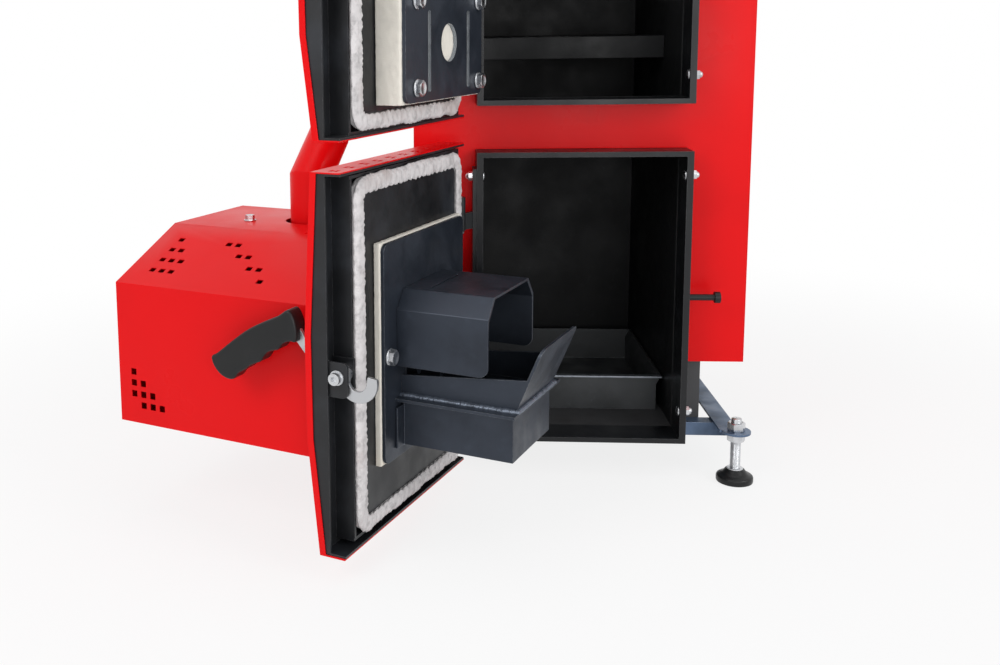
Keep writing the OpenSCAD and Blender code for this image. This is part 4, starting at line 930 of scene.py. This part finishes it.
class BOILER_OT_fasteners(bpy.types.Operator):
    """Puts bolts, washers and nuts on their seats"""

    bl_idname = "boiler.fasteners"
    bl_label = "Fasteners"

    # bolts of the burner: middle and reach to each side, depth and height, in mm
    BURNER = (189, 109, 25, 283)

    # bolts of the upper plate: columns, depth, foot of the plate and rows above it
    PLATE_XS = (60, 267)
    PLATE_Y = 53
    PLATE_FOOT = 597
    PLATE_ROWS = (44, 157, 300)

    # bolts through the necks: heights, depth, and seats of the heads inside
    NECK_ZS = (106.076, 486.092, 640.23, 946.77)
    NECK_Y = 14.0
    HEAD_X = 155

    # side, seat of the nuts outside it and turn from nut to nut
    NUTS = ((1, 165, 0.3), (-1, 171, 0.2))

    # radius and rise of the round heads, heights of the others, and a nut's dome
    HEAD = (8, 3.5)
    BOLT_H, NUT_H, CAP_H, SCREW_H = 7.5, 13, 5.6, 7.6
    CAP_DOME = 5.0
    SCREW_FLATS = 13

    # bore radius and thickness of the washers, after the radius of the small ones
    BOLT_WASHER = (5.9, 2.5)
    CAP_WASHER = (8.2, 4, 1.2)
    SCREW_WASHER = (9.6, 4, 1.8)

    # undersides of the nuts of each foot, and the screw of the burner casing
    FOOT_ZS = (67, 84)
    SCREW = (135, -302, 420)

    def place(self, node, body, shape, seats):
        settle(copies(node + "_finished", shape, seats, "zinc"), body, "zinc", node)

    def door_bolt(self):
        s = sizes()
        head = hex_head(s.bolt_flats, self.BOLT_H * MM)
        return on_washer(head, s.washer_d / 2, *(size * MM for size in self.BOLT_WASHER))

    def doors(self):
        inwards = door_place().to_3x3() @ Vector((0, 1, 0))
        middle, reach, y, z = self.BURNER
        seats = [(on_door(middle + k * reach, y, z), inwards, 0.35 * k) for k in (-1, 1)]
        self.place("burner_bolts", "lower_door", self.door_bolt(), seats)
        seats = [
            (on_door(x, self.PLATE_Y, self.PLATE_FOOT + row), inwards, 0.2 * i + 0.01 * row)
            for i, x in enumerate(self.PLATE_XS) for row in self.PLATE_ROWS
        ]
        self.place("upper_plate_bolts", "upper_door", self.door_bolt(), seats)
        head = hex_head(self.SCREW_FLATS * MM, self.SCREW_H * MM)
        screw = on_washer(head, *at(*self.SCREW_WASHER))
        self.place("casing_screw", "lower_door", screw, [(on_door(*self.SCREW), UP, 0.2)])

    def necks(self):
        heads, nuts = [], []
        for i, z in enumerate(self.NECK_ZS):
            for side, nut_x, turn in self.NUTS:
                out = Vector((side, 0, 0))
                heads.append((at(side * self.HEAD_X, self.NECK_Y, z), -out, 0.0))
                nuts.append((at(side * nut_x, self.NECK_Y, z), out, turn * i))
        radius, rise = (size * MM for size in self.HEAD)
        arc = [
            (radius * math.cos(t * math.pi / 16), rise * math.sin(t * math.pi / 16))
            for t in range(8)
        ]
        head = turned([(0, 0)] + arc + [(0, rise)], closed=False)
        self.place("neck_bolts", "boiler", head, heads)
        cap = hex_head(sizes().dome_flats, self.CAP_H * MM, self.CAP_DOME * MM)
        self.place("neck_nuts", "boiler", on_washer(cap, *at(*self.CAP_WASHER)), nuts)

    def feet(self):
        nut = hex_head(sizes().foot_flats, self.NUT_H * MM, both=True)
        seats = [
            (at(x, y, z), UP, 0.17 * i) for i, (x, y) in enumerate(FEET) for z in self.FOOT_ZS
        ]
        self.place("foot_nuts", "boiler", nut, seats)

    def execute(self, context):
        self.doors()
        self.necks()
        self.feet()
        return {"FINISHED"}


class BOILER_OT_welds(bpy.types.Operator):
    """Lays the weld beads of the burner"""

    bl_idname = "boiler.welds"
    bl_label = "Welds"

    # each seam is its share of the bead width and its places on the door, in mm
    SEAMS = (
        (1.6, (264, 27, 220.6), (264, 188, 220.6)),
        (1.6, (114, 27, 220.6), (114, 188, 220.6)),
        (1.6, (115, 192.4, 220.6), (263, 192.4, 220.6)),
        (0.6, (118, 26.2, 148.2), (260, 26.2, 148.2)),
    )
    FIRST_SEED = 3

    def execute(self, context):
        s = sizes()
        parts = []
        for seed, (share, *seam) in enumerate(self.SEAMS, self.FIRST_SEED):
            ob = path_object("seam", [on_door(*p) for p in seam])
            TREES["bead"].apply(
                ob, Pitch=s.bead_pitch, Width=s.bead_width * share, Seed=seed,
                Finish=FINISH["weld"],
            )
            parts.append(ob)
        settle(merged("burner_weld_beads", parts), "lower_door", "raw_steel")
        return {"FINISHED"}


class BOILER_OT_grips(bpy.types.Operator):
    """Moulds the black hand grips of the latches"""

    bl_idname = "boiler.grips"
    bl_label = "Hand grips"

    # depth and height from the pivot, in mm
    OUTLINE = (
        (-71, 82), (-87, 72), (-115, 59), (-138, 46), (-161, 29), (-185, 10), (-194, 4),
        (-191, -8), (-181, -19), (-169, -24), (-159, -23), (-151, -14), (-141, -8), (-132, -1),
        (-122, 4), (-114, 8), (-106, 19), (-97, 24), (-87, 27), (-79, 36), (-69, 40), (-59, 41),
        (-58, 55), (-62, 72),
    )

    # height of each pivot, and both sides of a grip
    PIVOTS = {"lower": 278.0, "upper": 797.0}
    SIDES = (374.0, 402.0)

    def smooth_outline(self):
        """The outline as a closed curve through its points."""
        pts = [Vector(p) for p in self.OUTLINE]
        count, steps = len(pts), 4
        out = []
        for i in range(count):
            a, b, c, d = (pts[(i + k - 1) % count] for k in range(4))
            for step in range(steps):
                t = step / steps
                out.append(0.5 * ((2 * b) + (c - a) * t + (2 * a - 5 * b + 4 * c - d) * t * t
                                  + (3 * b - a - 3 * c + d) * t ** 3))
        return out

    def execute(self, context):
        for door, pivot in self.PIVOTS.items():
            name = door + "_latch_grip"
            bm = bmesh.new()
            capped(bm, [
                [bm.verts.new(on_door(x, p.x, p.y + pivot)) for p in self.smooth_outline()]
                for x in self.SIDES
            ])
            rims = [e for e in bm.edges if any(len(f.verts) > 4 for f in e.link_faces)]
            round_off(bm, rims, sizes().grip_edge, 6)
            ob = new_object(name + "_moulded", smooth_mesh(bm, name + "_moulded", 50))
            coat(ob, "plastic")
            settle(ob, door + "_latch", "black_plastic", name)
        return {"FINISHED"}


class BOILER_OT_feet(bpy.types.Operator):
    """Makes the levelling feet with their rubber pads and threaded studs"""

    bl_idname = "boiler.feet"
    bl_label = "Levelling feet"

    # radius and height along the pad, in mm
    PAD = (
        (0, 0), (25.5, 0), (27.4, 1.0), (28, 2.6), (28, 8.5), (27.2, 10.6), (25.0, 12.0),
        (21.5, 12.9), (18.0, 16.0), (15.6, 19.4), (14.2, 21.0), (8.0, 21.0), (0, 21.0),
    )

    # radius, bore radius and thickness of the collar, and its height, in mm
    COLLAR = (12.5, 7.0, 2.0)
    COLLAR_Z = 21

    # ends of the stud and length of its point, in mm, and as shares of its size
    # the depth of the thread and the width of the point
    STUD = (20, 104)
    POINT_L = 2
    THREAD, POINT = 0.055, 0.75
    CORNERS, RINGS_A_TURN = 24, 5

    def stud(self):
        """bmesh of a threaded stud."""
        s = sizes()
        low, high = (end * MM for end in self.STUD)
        rise = s.foot_pitch / self.RINGS_A_TURN
        bm = bmesh.new()
        rings = []
        for k in range(int((high - low) / rise) + 1):
            z = low + k * rise
            point = min(1.0, (high - z) / (self.POINT_L * MM) + self.POINT)

            def radius(angle):
                phase = ((z - low) / s.foot_pitch - angle / (2 * math.pi)) % 1.0
                cut = self.THREAD * s.foot_thread * (1 - abs(2 * phase - 1))
                return (s.foot_thread / 2 - cut) * point

            rings.append(ring(bm, self.CORNERS, radius, z))
        return capped(bm, rings)

    def execute(self, context):
        seats = [(at(x, y, 0), UP, 0.4 * i) for i, (x, y) in enumerate(FEET)]
        pad = turned([(r * MM, z * MM) for r, z in self.PAD], 48, closed=False)
        collar = joined((washer(*at(*self.COLLAR)), self.COLLAR_Z * MM))
        parts = [
            copies("foot_pads", pad, seats, "plastic", 40),
            copies("foot_collars", collar, seats, "zinc"),
            copies("foot_studs", self.stud(), seats, "zinc", 60),
        ]
        settle(merged("levelling_feet_finished", parts), "boiler", "black_plastic",
               "levelling_feet")
        return {"FINISHED"}


class BOILER_OT_controls(bpy.types.Operator):
    """Finishes the control knob and the marks round it"""

    bl_idname = "boiler.controls"
    bl_label = "Controls"

    # radius and height along the knob, and depth of its ribs, in mm
    KNOB = ((15, 0.3), (15, 1.2), (14.4, 3.0), (13.6, 12.6), (12.8, 14.0), (11.6, 14.3))
    RIBBED = (2.0, 14.0)
    RIB_DEPTH = 0.45
    RIBS = 24

    # marks: first angle, step, count, distance from the middle and size in mm
    FIRST, STEP, COUNT = -135, 27, 11
    MARK_R = 20.5
    MARK = (0.5, 0.5, 3.2)

    def knob(self, place):
        bm = bmesh.new()
        rings = []
        for r, z in self.KNOB:
            depth = self.RIB_DEPTH if self.RIBBED[0] < z < self.RIBBED[1] else 0.0

            def radius(angle):
                return (r - depth * (0.5 + 0.5 * math.cos(self.RIBS * angle))) * MM

            rings.append(ring(bm, 4 * self.RIBS, radius, z * MM))
        capped(bm, rings)
        bmesh.ops.transform(bm, matrix=place, verts=bm.verts)
        name = "controller_knob_finished"
        ob = new_object(name, smooth_mesh(bm, name, 40))
        coat(ob, "plastic")
        settle(ob, "knob", "black_plastic", "controller_knob")

    def marks(self, place):
        seats = []
        for i in range(self.COUNT):
            angle = math.radians(self.FIRST + self.STEP * i)
            along = Vector((math.sin(angle), math.cos(angle), 0.0))
            seats.append((place @ (along * self.MARK_R * MM), place.to_3x3() @ along, 0.0))
        dash = bmesh.new()
        bmesh.ops.create_cube(dash, size=1.0)
        bmesh.ops.scale(dash, vec=at(*self.MARK), verts=dash.verts)
        bmesh.ops.bevel(dash, geom=list(dash.edges), offset=0.12 * MM, segments=2, affect="EDGES")
        settle(copies("controller_marks", dash, seats, "mark"), "boiler", "black_plastic")

    def execute(self, context):
        joint = JOINT["controller_knob"]
        turn = UP.rotation_difference(Vector(joint["axis"])).to_matrix().to_4x4()
        place = Matrix.Translation(Vector(joint["pos_m"])) @ turn
        self.knob(place)
        self.marks(place)
        return {"FINISHED"}


class BOILER_OT_stage(bpy.types.Operator):
    """Sets the pale floor, the lights and the camera"""

    bl_idname = "boiler.stage"
    bl_label = "Stage"

    # the camera solved from the photograph: metres, degrees, mm and shares of its width
    PLACE = (-0.2377, -1.7735, 0.7230)
    AHEAD = (-0.0966, 0.9838, -0.1511)
    ROLL = -1.03
    LENS, SENSOR = 40.88, 36.0
    SHIFT = (0.18, -0.1325)

    # name, place, aim, size and power of each light
    LAMPS = (
        ("Left softbox", (-2.2, -2.2, 2.3), (0, 0, 0.5), (1.8, 1.8), 36),
        ("Right softbox", (2.4, -1.9, 1.7), (0, 0, 0.5), (1.4, 1.8), 29),
        ("Low front fill", (0.35, -2.6, 0.75), (0, 0.2, 0.35), (1.2, 0.8), 11),
        ("Top softbox", (0.0, 0.2, 3.4), (0, 0, 0.4), (2.2, 2.2), 20),
    )

    # half the floor's width, in metres. It glows less near the boiler, so that it
    # keeps the shadow: where that starts and ends, and the shares of glow there.
    FLOOR = 9.0
    FADE = (0.75, 1.9, 0.82, 1.0)
    WHITE = (1, 1, 1, 1)

    def seen(self, nodes):
        """1 for the rays that see the white studio, 0 for those that light."""
        path = nodes.add("ShaderNodeLightPath").outputs
        rays = nodes.math("MAXIMUM", path["Is Camera Ray"], path["Is Glossy Ray"])
        return nodes.math("MAXIMUM", rays, path["Is Transmission Ray"])

    def mix(self, nodes, share, lit, shown, output):
        """Shows one shader by a share, and lights with the other."""
        inputs = {0: share, 1: lit.outputs[0], 2: shown.outputs[0]}
        nodes.add(output, {0: nodes.add("ShaderNodeMixShader", inputs).outputs[0]})

    def floor(self):
        bm = bmesh.new()
        bmesh.ops.create_grid(bm, x_segments=4, y_segments=4, size=self.FLOOR)
        ob = new_object("stage_floor", mesh_of(bm, "stage_floor"))
        mat = bpy.data.materials.new("Pale studio floor")
        mat.use_nodes = True
        nodes = Nodes(mat.node_tree)
        lit = nodes.add("ShaderNodeBsdfDiffuse", {"Color": (0.86, 0.86, 0.86, 1)})
        glow = nodes.add("ShaderNodeEmission", {"Color": self.WHITE})
        coords = nodes.add("ShaderNodeTexCoord").outputs["Object"]
        reach = nodes.add("ShaderNodeVectorMath", {0: coords}, operation="LENGTH")
        fade = nodes.span(reach.outputs["Value"], *self.FADE)
        share = nodes.math("MULTIPLY", self.seen(nodes), fade)
        self.mix(nodes, share, lit, glow, "ShaderNodeOutputMaterial")
        ob.data.materials.append(mat)

    def world(self, context):
        world = bpy.data.worlds.new("Studio")
        context.scene.world = world
        world.use_nodes = True
        nodes = Nodes(world.node_tree)
        sky = {"Color": (0.97, 0.98, 1.0, 1), "Strength": 0.50}
        light = nodes.add("ShaderNodeBackground", sky)
        white = nodes.add("ShaderNodeBackground", {"Color": self.WHITE, "Strength": 1.0})
        self.mix(nodes, self.seen(nodes), light, white, "ShaderNodeOutputWorld")

    def lamp(self, name, place, target, size, energy):
        data = bpy.data.lights.new(name, "AREA")
        data.shape = "RECTANGLE"
        data.size, data.size_y = size
        data.energy = energy
        ob = new_object(name, data)
        ob.location = place
        aim = Vector(target) - Vector(place)
        ob.rotation_euler = aim.to_track_quat("-Z", "Y").to_euler()

    def camera(self, context):
        data = bpy.data.cameras.new("Photograph view")
        data.sensor_width = self.SENSOR
        data.lens = self.LENS
        data.shift_x, data.shift_y = self.SHIFT
        data.clip_end = 60.0
        ob = new_object("Photograph view", data)
        ahead = Vector(self.AHEAD).normalized()
        level = ahead.cross(UP).normalized()
        lift = level.cross(ahead)
        c, s = math.cos(math.radians(self.ROLL)), math.sin(math.radians(self.ROLL))
        right = level * c + lift * s
        up = lift * c - level * s
        turn = Matrix((right, up, -ahead)).transposed()
        ob.matrix_world = Matrix.Translation(Vector(self.PLACE)) @ turn.to_4x4()
        context.scene.camera = ob

    def execute(self, context):
        self.floor()
        self.world(context)
        for lamp in self.LAMPS:
            self.lamp(*lamp)
        self.camera(context)
        context.scene.view_settings.view_transform = "Standard"
        return {"FINISHED"}


class BOILER_PT_panel(bpy.types.Panel):
    """Lists the boiler's steps, sizes and finishes"""

    bl_idname = "BOILER_PT_panel"
    bl_label = "Solid fuel boiler"
    bl_space_type = "VIEW_3D"
    bl_region_type = "UI"
    bl_category = "Boiler"

    def draw(self, context):
        column = self.layout.column()
        for step in STEPS:
            column.operator(step.bl_idname)
        for group in (context.scene.boiler_sizes, context.scene.boiler_finishes):
            for label in group.__annotations__:
                column.prop(group, label)


STEPS = (
    BOILER_OT_finishes, BOILER_OT_stage, BOILER_OT_metalwork, BOILER_OT_ropes,
    BOILER_OT_boards, BOILER_OT_fasteners, BOILER_OT_welds, BOILER_OT_grips, BOILER_OT_feet,
    BOILER_OT_controls,
)
CLASSES = (BoilerSizes, BoilerFinishes) + STEPS + (BOILER_PT_panel,)


def register():
    for cls in CLASSES:
        bpy.utils.register_class(cls)
    bpy.types.Scene.boiler_sizes = PointerProperty(type=BoilerSizes)
    bpy.types.Scene.boiler_finishes = PointerProperty(type=BoilerFinishes)


def unregister():
    del bpy.types.Scene.boiler_finishes
    del bpy.types.Scene.boiler_sizes
    for cls in reversed(CLASSES):
        bpy.utils.unregister_class(cls)


def main():
    register()
    bpy.ops.boiler.finishes()
    bpy.ops.boiler.stage()
    bpy.ops.boiler.metalwork()
    bpy.ops.boiler.ropes()
    bpy.ops.boiler.boards()
    bpy.ops.boiler.fasteners()
    bpy.ops.boiler.welds()
    bpy.ops.boiler.grips()
    bpy.ops.boiler.feet()
    bpy.ops.boiler.controls()


if __name__ == "__main__":
    main()
